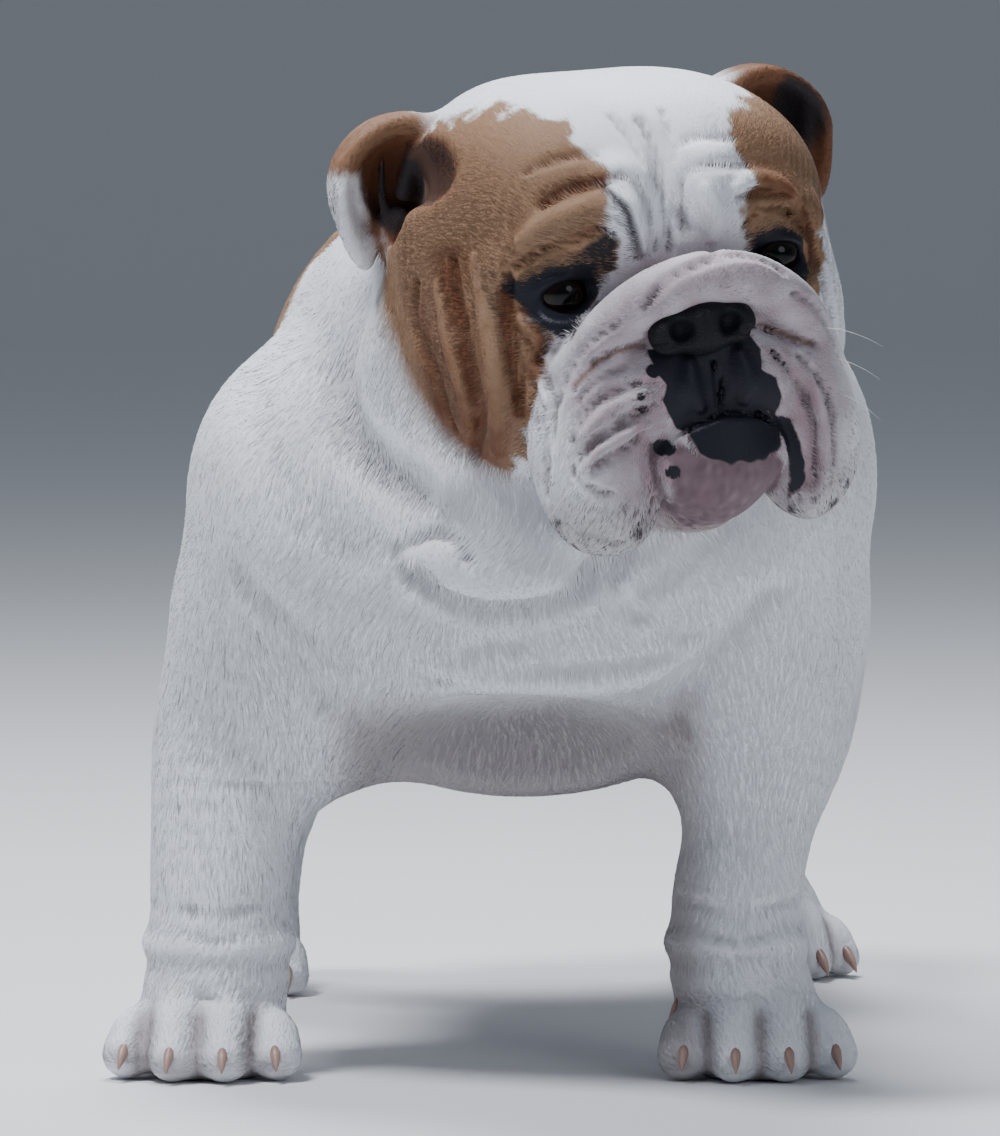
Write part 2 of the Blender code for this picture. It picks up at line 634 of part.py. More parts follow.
def part_body(body):
    """Parts the body into its named pieces."""
    neck_point, neck_normal = Vector(NECK_CUT[0]), Vector(NECK_CUT[1]).normalized()
    half = neck_normal * PART_GAP / 2
    pieces = {}

    def neck_cuts(obj):
        slice_off(obj, neck_point + half, -neck_normal)

    def torso_cuts(obj):
        slice_off(obj, neck_point - half, neck_normal)
        for room in (*LEG_ROOM.values(), TAIL_ROOM):
            outside(obj, *grow_room(room))

    pieces["neck"] = piece("neck", body, neck_cuts)
    pieces["torso"] = piece("torso", body, torso_cuts)
    pieces["tail"] = piece("tail", body, lambda obj: region(obj, *shrink_room(TAIL_ROOM)))
    for (end, side), room in LEG_ROOM.items():
        paw_top = FORE_PAW_HEIGHT if end == "front" else HIND_PAW_HEIGHT
        paw_at, heading, width = (
            (FORE_PAW[side], FORE_PAW_HEADING[side], FORE_PAW_WIDTH) if end == "front"
            else (HIND_PAW[side], HIND_PAW_HEADING[side], HIND_PAW_WIDTH))

        def leg_cuts(obj, room=room, paw_top=paw_top):
            region(obj, *shrink_room(room))
            slice_off(obj, (0, 0, paw_top + PART_GAP / 2), (0, 0, -1))

        def paw_cuts(obj, room=room, paw_top=paw_top):
            region(obj, *shrink_room(room))
            slice_off(obj, (0, 0, paw_top - PART_GAP / 2), (0, 0, 1))
            slice_off(obj, (0, 0, FLOOR), (0, 0, -1))

        pieces[f"{end}_leg_{side}"] = piece(f"{end}_leg_{side}", body, leg_cuts)
        paw = piece(f"{end}_paw_{side}", body, paw_cuts)
        add_claws(paw, toe_tips(paw_at, heading, width))
        pieces[f"{end}_paw_{side}"] = paw
    return pieces


def build_head():
    """The head with its lower jaw, nose, eyes and ears."""
    head_flesh = Flesh(HEAD_FRAME)
    add_skull(head_flesh)
    add_muzzle(head_flesh)
    add_brow(head_flesh)
    add_nose_roll(head_flesh)
    add_face_folds(head_flesh)
    head = head_flesh.solid("head", FINE_VOXEL)
    thin_out(head, BUDGET["head"])

    jaw_flesh = Flesh(HEAD_FRAME)
    add_lower_jaw(jaw_flesh)
    jaw = jaw_flesh.solid("lower_jaw", FINE_VOXEL)
    thin_out(jaw, BUDGET["lower_jaw"])

    nose_flesh = Flesh(HEAD_FRAME)
    add_nose(nose_flesh)
    nose = nose_flesh.solid("nose", FINE_VOXEL / 2)
    thin_out(nose, BUDGET["nose"])

    pieces = {"lower_jaw": jaw, "nose": nose}
    for side, sign in SIDES.items():
        pieces[f"eye_{side}"] = eyeball(f"eye_{side}", sign)
    cut_clear(head, *pieces.values())
    for side, sign in SIDES.items():
        ear_flesh = Flesh(HEAD_FRAME)
        add_ear(ear_flesh, side)
        ear = ear_flesh.solid(f"ear_{side}", FINE_VOXEL * 0.8)
        thin_out(ear, BUDGET["ear"])
        cut_clear(ear, head)
        pieces[f"ear_{side}"] = ear
    pieces["head"] = head
    return pieces


def main():
    for obj in list(bpy.data.objects):
        bpy.data.objects.remove(obj)
    for group in (PARTS, CUTTERS):
        bpy.context.scene.collection.children.link(group)

    pieces = build_head()
    body = build_body()
    pieces |= part_body(body)
    discard(body)
    cut_clear(pieces["neck"], pieces["head"], pieces["lower_jaw"])
    cut_clear(pieces["torso"], pieces["head"], pieces["lower_jaw"])

    white = paint("white_coat", (0.80, 0.78, 0.75), 0.75)
    fawn = paint("fawn_coat", (0.42, 0.20, 0.09), 0.75)
    black = paint("black_skin", (0.015, 0.014, 0.018), 0.35)
    brown_eye = paint("eye", (0.03, 0.015, 0.01), 0.05)
    looks = {"nose": black, "eye_left": brown_eye, "eye_right": brown_eye, "ear_left": fawn, "ear_right": fawn}
    for name, obj in pieces.items():
        finish(obj, looks.get(name, white))

    corners = np.array([obj.matrix_world @ v.co for obj in pieces.values() for v in obj.data.vertices])
    low, high = corners.min(0), corners.max(0)
    shift = Matrix.Translation((-(low[0] + high[0]) / 2, -(low[1] + high[1]) / 2, -low[2]))
    for obj in pieces.values():
        obj.data.transform(shift)


main()
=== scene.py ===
# %% [markdown]
# # A life-size English bulldog, standing still
#
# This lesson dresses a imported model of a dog.  The model's solids are plain and faceted.  Here they get one
# smooth skin without seams, the folds of the face, a short coat made of real mesh, wet eyes and claws.
# Every length is in metres, +Z is up, and the dog faces -Y, so its left side is +X.

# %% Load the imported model
import json
from math import atan, cos, pi, radians, sin

import bmesh
import bpy
import numpy as np
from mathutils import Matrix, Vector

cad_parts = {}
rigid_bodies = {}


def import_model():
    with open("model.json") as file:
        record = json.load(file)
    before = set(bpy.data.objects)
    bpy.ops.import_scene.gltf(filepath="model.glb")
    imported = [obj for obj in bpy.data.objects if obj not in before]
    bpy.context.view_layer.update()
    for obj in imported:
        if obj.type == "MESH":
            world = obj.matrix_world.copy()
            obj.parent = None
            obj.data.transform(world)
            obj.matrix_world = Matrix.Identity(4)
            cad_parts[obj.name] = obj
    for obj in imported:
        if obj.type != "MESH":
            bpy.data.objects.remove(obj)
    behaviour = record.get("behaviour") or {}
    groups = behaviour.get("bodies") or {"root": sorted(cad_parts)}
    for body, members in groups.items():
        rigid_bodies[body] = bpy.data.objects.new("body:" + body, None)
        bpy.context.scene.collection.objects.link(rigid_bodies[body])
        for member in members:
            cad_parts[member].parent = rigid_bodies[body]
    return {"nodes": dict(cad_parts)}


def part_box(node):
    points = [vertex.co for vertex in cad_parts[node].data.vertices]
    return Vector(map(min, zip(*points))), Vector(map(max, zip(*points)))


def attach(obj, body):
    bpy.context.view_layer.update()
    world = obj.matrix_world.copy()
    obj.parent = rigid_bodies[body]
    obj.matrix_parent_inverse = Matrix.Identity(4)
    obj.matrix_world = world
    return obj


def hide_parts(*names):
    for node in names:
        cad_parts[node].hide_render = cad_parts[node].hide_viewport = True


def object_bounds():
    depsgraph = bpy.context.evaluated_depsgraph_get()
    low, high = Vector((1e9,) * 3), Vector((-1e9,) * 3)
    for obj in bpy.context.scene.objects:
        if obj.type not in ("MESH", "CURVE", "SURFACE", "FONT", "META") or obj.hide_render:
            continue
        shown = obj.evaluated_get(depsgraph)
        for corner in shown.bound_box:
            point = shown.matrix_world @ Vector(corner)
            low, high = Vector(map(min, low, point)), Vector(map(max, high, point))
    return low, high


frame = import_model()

import openvdb
from mathutils import Matrix, Vector

SOLID_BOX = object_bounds()
print("solids span", [round(b - a, 4) for a, b in zip(*SOLID_BOX)])

# %% [markdown]
# ## Where the head and the legs are
#
# A pose is a handful of landmarks.  The head has a frame of its own, whose origin lies midway between the
# eyes: x to the dog's left, y backward, z up.  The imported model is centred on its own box, so the landmarks
# are moved once, by the distance between the left eye as named here and the left eye as packed.

# %% Landmarks
MID_X = 0.013
WITHERS_HEIGHT, BRISKET_HEIGHT, CHEST_HALF_WIDTH = 0.368, 0.117, 0.130
EYEBALL_RADIUS, EYE_SPREAD, EYE_DEPTH = 0.0125, 0.0465, 0.0045
HEAD_TURN = (Matrix.Translation((0.0693, -0.130, 0.3453)) @ Matrix.Rotation(radians(18), 4, "Z")
             @ Matrix.Rotation(radians(3), 4, "X") @ Matrix.Rotation(radians(-9.5), 4, "Y"))
SIDES = {"right": -1, "left": 1}
ELBOW = {"right": (-0.1115, 0.022, 0.145), "left": (0.1135, 0.022, 0.145)}
FOREARM = {"right": (-0.1175, 0.012, 0.105), "left": (0.1068, 0.012, 0.105)}
WRIST = {"right": (-0.1200, 0.002, 0.055), "left": (0.1010, 0.002, 0.055)}
FORE_PAW = {"right": (-0.1244, -0.008, 0.0), "left": (0.1080, -0.008, 0.0)}
STIFLE = {"right": (-0.080, 0.245, 0.170), "left": (0.104, 0.275, 0.170)}
HOCK = {"right": (-0.108, 0.362, 0.098), "left": (0.114, 0.418, 0.098)}
HIND_PAW = {"right": (-0.122, 0.325, 0.0), "left": (0.130, 0.398, 0.0)}
PAWS = {("front", "right"): (FORE_PAW["right"], -6, 0.080), ("front", "left"): (FORE_PAW["left"], 4, 0.080),
        ("hind", "right"): (HIND_PAW["right"], -8, 0.068), ("hind", "left"): (HIND_PAW["left"], 20, 0.068)}
# each toe: how far across as a share of the paw's width, and how far it is set back
TOES = ((-0.385, 0.011), (-0.135, 0.0), (0.135, 0.0), (0.385, 0.011))
TOE_REACH = 0.42

eye_low, eye_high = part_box("eye_left")
packed_eye = (eye_low + eye_high) / 2
named_eye = HEAD_TURN @ Vector((EYE_SPREAD, EYE_DEPTH, 0))
MOVE = Vector((packed_eye.x - named_eye.x, packed_eye.y - named_eye.y, 0))
HOME = Matrix.Translation(MOVE)
HEAD = HOME @ HEAD_TURN
HEAD_IN = HEAD.inverted()
print("landmarks moved by", [round(v, 5) for v in MOVE])

# %% [markdown]
# ## Skin from blended masses
#
# Flesh is easier to describe as a few overlapping masses than as a cage of vertices.  Each mass is a
# function that says how far a point is outside of it.  A smooth minimum melts neighbouring masses together,
# a cut takes one away, and a stroke raises or grooves the surface along a line.  The skin is where the sum
# is zero.  It could be sculpted by hand instead, but here a fold moves when one number changes.

# %% Curves and steps


def smooth_curve(rows, steps=4):
    """Rows of numbers filled in with a Catmull-Rom curve."""
    rows = np.array(rows, float)
    ends = np.vstack([2 * rows[0] - rows[1], rows, 2 * rows[-1] - rows[-2]])
    filled = []
    for a, b, c, d in zip(ends, ends[1:], ends[2:], ends[3:]):
        for t in np.linspace(0, 1, steps, endpoint=False):
            filled.append(0.5 * (2 * b + (c - a) * t + (2 * a - 5 * b + 4 * c - d) * t**2
                                 + (3 * b - a - 3 * c + d) * t**3))
    return np.array([*filled, rows[-1]])


def nearest_on_curve(points, curve):
    """Distance from the curve and the curve's radius at the nearest place, for each point."""
    best = np.full(len(points), np.inf)
    away, radius = best.copy(), best.copy()
    for start, end in zip(curve[:-1], curve[1:]):
        along = end[:3] - start[:3]
        t = np.clip((points - start[:3]) @ along / max(along @ along, 1e-12), 0, 1)
        distance = np.linalg.norm(points - start[:3] - t[:, None] * along, axis=1)
        width = start[3] + t * (end[3] - start[3])
        nearer = distance - width < best
        best[nearer] = (distance - width)[nearer]
        away[nearer], radius[nearer] = distance[nearer], width[nearer]
    return away, radius


def smooth_min(a, b, blend):
    overlap = np.maximum(blend - np.abs(a - b), 0) / blend
    return np.minimum(a, b) - overlap**2 * blend / 4


def smooth_step(low, high, value):
    t = np.clip((value - low) / (high - low), 0, 1)
    return t * t * (3 - 2 * t)


def unit(vectors):
    return vectors / np.maximum(np.linalg.norm(vectors, axis=1, keepdims=True), 1e-9)


# %% Masses that blend


class Flesh:
    """Masses that blend into one surface, placed in the flesh's own frame."""

    def __init__(self, place):
        self.frame, self.steps = place, []

    def at(self, point):
        return np.array(self.frame @ Vector(point))

    def ball(self, centre, radii, turn=(0, 0, 0), blend=0.02, cut=False):
        centre, radii = self.at(centre), np.array(radii, float)
        turned = self.frame.to_3x3()
        for angle, axis in zip(reversed(turn), "ZYX"):
            turned = turned @ Matrix.Rotation(radians(angle), 3, axis)
        turned = np.array(turned)

        def distance(points):
            local = (points - centre) @ turned
            near = np.linalg.norm(local / radii, axis=1)
            slope = np.maximum(np.linalg.norm(local / radii**2, axis=1), 1e-9)
            return near * (near - 1) / slope

        reach = radii.max() + blend
        self.steps.append((centre - reach, centre + reach, "cut" if cut else "add", blend, distance))

    def tube(self, rows, blend=0.02, cut=False):
        curve = smooth_curve([[*self.at(row[:3]), row[3]] for row in rows])

        def distance(points):
            away, radius = nearest_on_curve(points, curve)
            return away - radius

        reach = curve[:, 3].max() + blend
        low, high = curve[:, :3].min(0) - reach, curve[:, :3].max(0) + reach
        self.steps.append((low, high, "cut" if cut else "add", blend, distance))

    def stroke(self, rows, height):
        """Raises the surface along rows of (x, y, z, width), or grooves it where height is negative."""
        curve = smooth_curve([[*self.at(row[:3]), row[3]] for row in rows])

        def weight(points):
            away, width = nearest_on_curve(points, curve)
            return np.exp(-1.5 * (away / width) ** 2)

        reach = curve[:, 3].max() * 2.5
        low, high = curve[:, :3].min(0) - reach, curve[:, :3].max(0) + reach
        self.steps.append((low, high, "stroke", height, weight))

    def shape(self, points, found):
        for low, high, kind, amount, measure in self.steps:
            near = np.all((points > low) & (points < high), axis=1)
            if not near.any():
                continue
            value = measure(points[near])
            if kind == "add":
                found[near] = smooth_min(found[near], value, amount)
            elif kind == "cut":
                found[near] = -smooth_min(-found[near], value, amount)
            else:
                found[near] -= amount * value
        return found

    def distance(self, points):
        return self.shape(points, np.full(len(points), 1.0))


# %% [markdown]
# ## The masses of the body
#
# A bulldog is wide and low in front and lighter behind: a barrel of a chest slung between the shoulders, a
# back that rises from behind the withers to the loin, heavy forearms, and a short tail.  Round masses are
# balls, and long ones are tubes whose width changes along a curve, as muscles do over bones.

# %% Trunk, neck, shoulders, legs and tail
body = Flesh(HOME)
rib_height = (WITHERS_HEIGHT + BRISKET_HEIGHT) / 2
body.ball((MID_X, 0.110, rib_height - 0.007), (CHEST_HALF_WIDTH - 0.003, 0.155, 0.117), blend=0.03)
body.ball((MID_X - 0.003, -0.012, 0.220), (0.112, 0.090, 0.072), blend=0.05)
body.ball((MID_X - 0.004, 0.045, 0.166), (0.088, 0.085, 0.048), blend=0.03)
body.ball((MID_X + 0.004, 0.228, 0.291), (0.086, 0.100, 0.079), blend=0.05)
body.ball((MID_X + 0.004, 0.302, 0.264), (0.088, 0.072, 0.080), blend=0.05)
body.ball((MID_X, 0.195, 0.225), (0.092, 0.110, 0.070), blend=0.05)
body.ball((MID_X, 0.060, 0.312), (0.088, 0.095, 0.054), blend=0.05)
body.tube([(0.014, 0.060, 0.288, 0.103), (0.024, 0.000, 0.300, 0.103), (0.036, -0.030, 0.312, 0.090),
           (0.044, -0.048, 0.325, 0.070)], blend=0.04)
body.ball((0.050, -0.056, 0.262), (0.056, 0.046, 0.046), blend=0.05)


def add_shoulder(side):
    sign, left = SIDES[side], side == "left"
    lift, inward = (0.012, 0.004) if left else (0.0, 0.008)
    middle = MID_X - 0.007 + lift * 0.9
    body.ball((middle + sign * (0.097 - inward), 0.000, 0.232 + lift), (0.050, 0.072, 0.076),
              (0, sign * 10, 0), 0.03)
    body.ball((middle + sign * (0.104 - 3.2 * inward), 0.012, 0.178), (0.038, 0.058, 0.056), blend=0.03)


def add_front_leg(side):
    (ex, ey, ez), (fx, fy, fz), (wx, wy, wz) = ELBOW[side], FOREARM[side], WRIST[side]
    slim = 0.0 if side == "right" else 0.002
    top_x = ex if side == "left" else ex + 0.007
    top, elbow, forearm = (0.036, 0.0345, 0.0280) if side == "left" else (0.035, 0.0375, 0.0325)
    body.tube([(top_x, ey - 0.012, ez + 0.045, top), (ex, ey, ez, elbow), (fx, fy, fz, forearm),
               (wx, wy + 0.002, wz + 0.018, 0.0300 - slim), (wx, wy, wz - 0.010, 0.0290 - slim)], blend=0.03)
    body.ball((wx, wy, wz + 0.001), (0.0335 - slim, 0.032, 0.013), blend=0.006)


def add_hind_leg(side):
    sign = SIDES[side]
    (sx, sy, sz), (hx, hy, hz), (px, py, _) = STIFLE[side], HOCK[side], HIND_PAW[side]
    px -= sign * 0.006
    body.ball((sx - sign * 0.012, sy + 0.044, sz + 0.055), (0.048, 0.074, 0.088), (0, sign * -10, 0), 0.04)
    body.tube([(sx, sy + 0.010, sz + 0.010, 0.046),
               ((sx + hx) / 2, (sy + hy) / 2 + 0.008, (sz + hz) / 2, 0.034),
               (hx, hy, hz, 0.0225)], blend=0.03)
    body.tube([(hx, hy, hz, 0.0225), ((hx + px) / 2, hy - 0.008, hz * 0.62, 0.0205),
               (px, py + 0.022, 0.028, 0.0215)], blend=0.02)


def paw_frame(centre, heading):
    return HOME @ Matrix.Translation(centre) @ Matrix.Rotation(radians(heading), 4, "Z")


def add_paw(centre, heading, width):
    """Pads and four arched toes that fan out from the middle of the sole."""
    paw, length = Flesh(paw_frame(centre, heading)), 0.9 * width
    paw.ball((0, 0.006, 0.022), (width * 0.39, length * 0.40, 0.026), blend=0.015)
    paw.ball((0, -0.008, 0.010), (width * 0.40, length * 0.36, 0.013), blend=0.010)
    for across, setback in TOES:
        x, tip = across * width, setback - length * TOE_REACH
        thick, sink = width * 0.148, 0.008 * (abs(across) > 0.3)
        paw.tube([(x * 0.66, 0.004, 0.028 - sink, thick), (x * 0.90, tip * 0.5, 0.0265 - sink, thick * 1.04),
                  (x * 1.04, tip, thick * 0.92, thick * 0.96)], blend=0.005)
    body.steps += paw.steps


# %% Put the body together
for leg_side in SIDES:
    add_shoulder(leg_side)
for leg_side in SIDES:
    add_front_leg(leg_side)
    add_hind_leg(leg_side)
for paw_place in PAWS.values():
    add_paw(*paw_place)
tail_x = MID_X + 0.004
body.tube([(tail_x, 0.348, 0.300, 0.026), (tail_x, 0.378, 0.288, 0.018),
           (tail_x + 0.004, 0.390, 0.266, 0.013), (tail_x - 0.002, 0.396, 0.246, 0.0085)], blend=0.02)
print("body masses:", len(body.steps))

# %% [markdown]
# ## The masses of the head
#
# The head carries the breed: a broad flat skull, pads over a deep stop, a thick roll over the nose, lips that
# hang past the jaw, and a chin that juts between them.  The ear is a cup on the back corner of the skull,
# with a flap that hangs from its outer rim.  Pads have a narrow blend, so that a crease stays between them.

# %% Skull, cheeks, brows, roll and lips
head = Flesh(HEAD)
head.ball((0, 0.068, 0.024), (0.087, 0.074, 0.056), blend=0.03)
head.ball((-0.041, 0.066, 0.039), (0.034, 0.050, 0.038), blend=0.03)
head.ball((0, 0.030, 0.024), (0.066, 0.045, 0.047), blend=0.03)
head.ball((0, 0.060, -0.040), (0.066, 0.068, 0.046), blend=0.03)
for s in (-1, 1):
    narrow = 0.0075 if s > 0 else 0.0
    head.ball((s * (0.061 - narrow), 0.074, -0.024), (0.035, 0.046, 0.060), blend=0.03)
    head.ball((s * (0.056 - narrow), 0.030, -0.030), (0.033, 0.034, 0.046), blend=0.02)
head.ball((0, -0.018, -0.040), (0.048, 0.026, 0.034), blend=0.012)
for s in (-1, 1):
    narrow = 0.0055 if s > 0 else 0.0
    head.ball((s * (0.047 - narrow), -0.0130, -0.0640), (0.0260, 0.0280, 0.0440), (0, s * -6, 0), 0.010)
    head.ball((s * 0.020, -0.0320, -0.0440), (0.0200, 0.0130, 0.0180), (0, s * 20, 0), 0.006)
    head.ball((s * (0.041 - narrow), -0.0230, -0.0840), (0.0160, 0.0160, 0.0240), (0, s * -14, 0), 0.008)
for s in (-1, 1):
    head.ball((s * 0.0180, -0.0075, 0.0290), (0.0155, 0.0140, 0.0230), (0, s * 8, 0), 0.006)
    head.tube([(s * 0.030, -0.0060, 0.0200, 0.0090), (s * 0.047, -0.0010, 0.0210, 0.0095),
               (s * 0.064, 0.0130, 0.0120, 0.0090)], blend=0.010)
    head.ball((s * EYE_SPREAD, EYE_DEPTH + 0.0010, -0.0005), (0.0165, 0.0140, 0.0150), blend=0.006)
    head.ball((s * 0.046, -0.0040, -0.0150), (0.0150, 0.0100, 0.0080), (0, s * -20, 0), 0.008)
roll_half = [(0.000, -0.0385, 0.0000, 0.0120), (0.018, -0.0375, -0.0030, 0.0120),
             (0.033, -0.0315, -0.0110, 0.0115), (0.045, -0.0240, -0.0240, 0.0118),
             (0.054, -0.0150, -0.0440, 0.0118), (0.060, -0.0050, -0.0660, 0.0110)]
roll_right = [(-x, y, z, r) for x, y, z, r in reversed(roll_half[1:])]
roll_left = [(min(x, 0.052), y, z, r) for x, y, z, r in roll_half]
nose_roll = roll_right + roll_left
head.tube(nose_roll, blend=0.006)

jaw = Flesh(HEAD)
jaw.ball((0, -0.0300, -0.0740), (0.0310, 0.0220, 0.0205), blend=0.012)
jaw.ball((0, -0.0340, -0.0600), (0.0230, 0.0150, 0.0080), blend=0.008)
jaw.tube([(0, -0.018, -0.083, 0.0200), (0, 0.010, -0.085, 0.0250), (0, 0.036, -0.078, 0.0285)], blend=0.012)

# %% Ears
EAR_SHIFT = {"right": (-0.002, 0.0), "left": (-0.0035, -0.006)}


def add_ear(flesh, side):
    sign, (out, lift) = SIDES[side], EAR_SHIFT[side]

    def at(x, y, z, *radius):
        return (sign * (x + out), y, z + lift, *radius)

    flesh.ball(at(0.082, 0.097, 0.046), (0.032, 0.017, 0.029), (0, sign * 12, 0), 0.006)
    flesh.tube([at(0.060, 0.086, 0.0620, 0.0090), at(0.084, 0.084, 0.0705, 0.0048),
                at(0.1025, 0.086, 0.0610, 0.0042), at(0.1085, 0.087, 0.0450, 0.0040)], 0.005)
    flesh.ball(at(0.1045, 0.0920, 0.0350), (0.0095, 0.0075, 0.0240), (0, sign * 6, sign * -25), 0.006)
    flesh.ball(at(0.0850, 0.0790, 0.0450), (0.0190, 0.0200, 0.0195), (0, sign * 12, 0), 0.003, cut=True)
    flesh.ball(at(0.1015, 0.0810, 0.0340), (0.0072, 0.0085, 0.0200), (0, sign * 6, 0), 0.002, cut=True)
    flesh.ball(at(0.0870, 0.0900, 0.0260), (0.0080, 0.0080, 0.0110), blend=0.004)
    flesh.tube([at(0.076, 0.084, 0.0620, 0.0035), at(0.083, 0.087, 0.0420, 0.0045)], 0.003)
    flesh.tube([at(0.090, 0.091, 0.0560, 0.0020), at(0.0925, 0.089, 0.0400, 0.0024),
                at(0.090, 0.087, 0.0240, 0.0028)], 0.003)


ears = {side: Flesh(HEAD) for side in SIDES}
for side, ear in ears.items():
    add_ear(ear, side)
print("head masses:", len(head.steps) + len(jaw.steps) + sum(len(ear.steps) for ear in ears.values()))

# %% [markdown]
# ## Drawing on the face
#
# A fold is drawn where it lies on the face, in millimetres to the dog's left and up from the point between
# the eyes.  `on_face` finds the surface there by marching backward until it meets flesh, so that a drawn
# line always sits on the form under it.

# %% Finding the face
MM = 0.001
FOLD_DEPTH = 1.25


def to_head(points):
    """World points in the head's own frame."""
    turned = np.array(HEAD_IN)
    return points @ turned[:3, :3].T + turned[:3, 3]


def on_face(places):
    """Head-frame points on the front of the face for (left, up) places in millimetres."""
    places = np.array(places, float) * MM
    found = np.column_stack([places[:, 0], np.full(len(places), -0.075), places[:, 1]])
    turned = np.array(HEAD)
    for _ in range(60):
        world = found @ turned[:3, :3].T + turned[:3, 3]
        gap = np.minimum(head.distance(world), jaw.distance(world))
        found[:, 1] += np.clip(gap * 0.8, -0.004, 0.010)
    return found


def fold(flesh, places, width, height, taper=0.45):
    """A groove or ridge along places on the face, with its width in millimetres and narrower ends."""
    rows = on_face(places)
    spread = np.linspace(-1, 1, len(rows))
    widths = width * MM * (1 - taper * spread**2)
    flesh.stroke([(*row, w) for row, w in zip(rows, widths)], height * MM * FOLD_DEPTH)


# %% [markdown]
# ## The folds of the face
#
# The loose skin of the breed hangs in set folds.  Those of the right side are listed first, because they are
# the deepest with the head turned to the left.  The left side has the same folds, pressed a little flatter.
# Bumps in the material would be less work, but folds this deep cast shadows and show in the contour.

# %% Folds
creases = Flesh(HEAD)
RIGHT_FOLDS = (
    # (width, height) and places
    (3.8, -7.4, ((-68, 10), (-70, 2), (-71, -12), (-71, -28), (-72, -46))),              # behind the eye
    (4.0, 4.2, ((-77, 18), (-78, -4), (-79, -28), (-79, -48), (-77, -64))),              # the ridge after it
    (4.2, -6.8, ((-83, 18), (-85, 2), (-86, -14), (-86, -31), (-84, -48), (-80, -68))),  # middle of the cheek
    (4.0, 3.4, ((-88, 8), (-90, -14), (-89, -34), (-86, -52))),
    (4.5, -5.0, ((-93, 8), (-95, -11), (-93, -31), (-88, -54))),
    (2.8, -4.6, ((-52, 37), (-44, 41), (-36, 43), (-28, 44), (-20, 45))),                # over the brow
    (2.6, -2.6, ((-54, 51), (-44, 54), (-34, 55), (-26, 54))),
    (4.0, -4.4, ((-20, 46), (-14, 42), (-10, 34), (-9, 24), (-9, 12))),                  # inside of the brow
    (5.5, 4.0, ((-62, 24), (-54, 30), (-44, 33), (-32, 35), (-22, 34), (-18, 26), (-17, 14))),
    (3.0, -4.6, ((-69, 11), (-63, 15), (-56, 19), (-48, 21), (-38, 23), (-31, 24), (-25, 19))),   # lid fold
    (4.5, 3.0, ((-66, -8), (-61, -16), (-62, -28), (-66, -40))),                         # under the eye
    (3.0, -3.6, ((-58, -17), (-62, -26), (-65, -38), (-68, -50))),
    (2.8, -7.0, ((-58, -36), (-52, -29), (-45, -25), (-37, -23), (-27, -22))),           # under the nose roll
    (3.0, -3.6, ((-68, -50), (-64, -40), (-58, -29), (-50, -18), (-38, -11))),
    (3.0, -4.4, ((-63, -38), (-68, -51), (-71, -63), (-72, -80))),
    (2.6, -4.0, ((-32, -36), (-40, -38), (-49, -41), (-58, -48), (-62, -56))),
    (2.6, -4.4, ((-28, -46), (-38, -50), (-47, -54), (-56, -58), (-63, -66), (-65, -74))),
    (2.6, -3.8, ((-35, -60), (-45, -63), (-54, -67), (-61, -72))),
    (2.6, -3.2, ((-50, -80), (-57, -77), (-63, -70))),
    (2.4, -2.6, ((-36, -30), (-44, -31), (-52, -36), (-58, -42))),
    (3.0, 2.0, ((-30, -41), (-40, -44), (-50, -48), (-58, -54))),
    (3.0, 2.0, ((-32, -54), (-44, -58), (-54, -62), (-60, -69))),
    (3.2, -3.0, ((-52, -104), (-44, -100), (-36, -94), (-31, -86))),
)
LEFT_FOLDS = (
    (3.4, -5.0, ((64, 8), (68, -8), (69, -22), (69, -40))),
    (5.0, -4.0, ((78, 12), (82, -10), (82, -32), (78, -60))),
    (2.8, -4.4, ((5, 39), (12, 43), (20, 43), (30, 41), (38, 39))),
    (2.4, -2.4, ((6, 52), (16, 54), (28, 52), (36, 50))),
    (3.6, -4.0, ((5, 40), (3, 30), (4, 18), (9, 9))),
    (5.0, 3.0, ((28, 32), (38, 33), (50, 29), (58, 20))),
    (3.0, -4.4, ((28, 27), (36, 28), (44, 26), (53, 22))),
    (2.8, -4.0, ((30, 15), (38, 20), (47, 20), (54, 15), (60, 8))),
    (2.8, -6.4, ((21, -22), (29, -26), (37, -30), (48, -36))),
    (3.0, -3.0, ((38, -11), (48, -18), (55, -28), (60, -40))),
    (3.0, -3.6, ((26, -34), (33, -44), (38, -57), (39, -73), (37, -90))),
    (3.0, -3.6, ((38, -37), (47, -52), (49, -66), (47, -84))),
    (3.0, -3.4, ((58, -40), (64, -52), (66, -66), (64, -82))),
    (3.0, 2.0, ((43, -40), (43, -55), (44, -72), (43, -88))),
)
MIDDLE_FOLDS = (
    (5.0, -6.0, ((-3, 64), (-1, 54), (-2, 40), (-2, 28), (-4, 12))),                     # the furrow
    (2.6, -3.2, ((0, -33), (1, -42), (0, -51))),                                         # the philtrum
    (5.5, 2.2, ((-11, -32), (-12, -42), (-9, -51))),
    (5.5, 2.2, ((11, -32), (12, -42), (10, -51))),
    (2.6, -3.4, ((-20, -60), (-12, -56), (0, -54), (12, -56), (22, -62))),               # the mouth
    (3.0, -2.6, ((-14, 68), (-10, 58), (-8, 48))),
    (3.0, -2.2, ((8, 66), (7, 56), (5, 48))),
    (6.0, 2.5, ((14, 34), (16, 24), (15, 14))),
    (2.8, -3.8, ((-28, -6), (-16, 4), (-2, 8), (12, 9), (26, 5), (36, -3))),             # behind the roll
)
for fold_list in (RIGHT_FOLDS, LEFT_FOLDS, MIDDLE_FOLDS):
    for fold_width, fold_height, fold_places in fold_list:
        fold(creases, fold_places, fold_width, fold_height)
print("folds on the face:", len(creases.steps))

# %% [markdown]
# ## Eyelids
#
# A lid is a thin rim that follows the ball of the eye, so its points are worked out on a sphere just larger
# than the eyeball.  The opening between the lids is cut first, and the rims are laid along its border.
# That way the lids lie against the ball from whichever side they are seen.

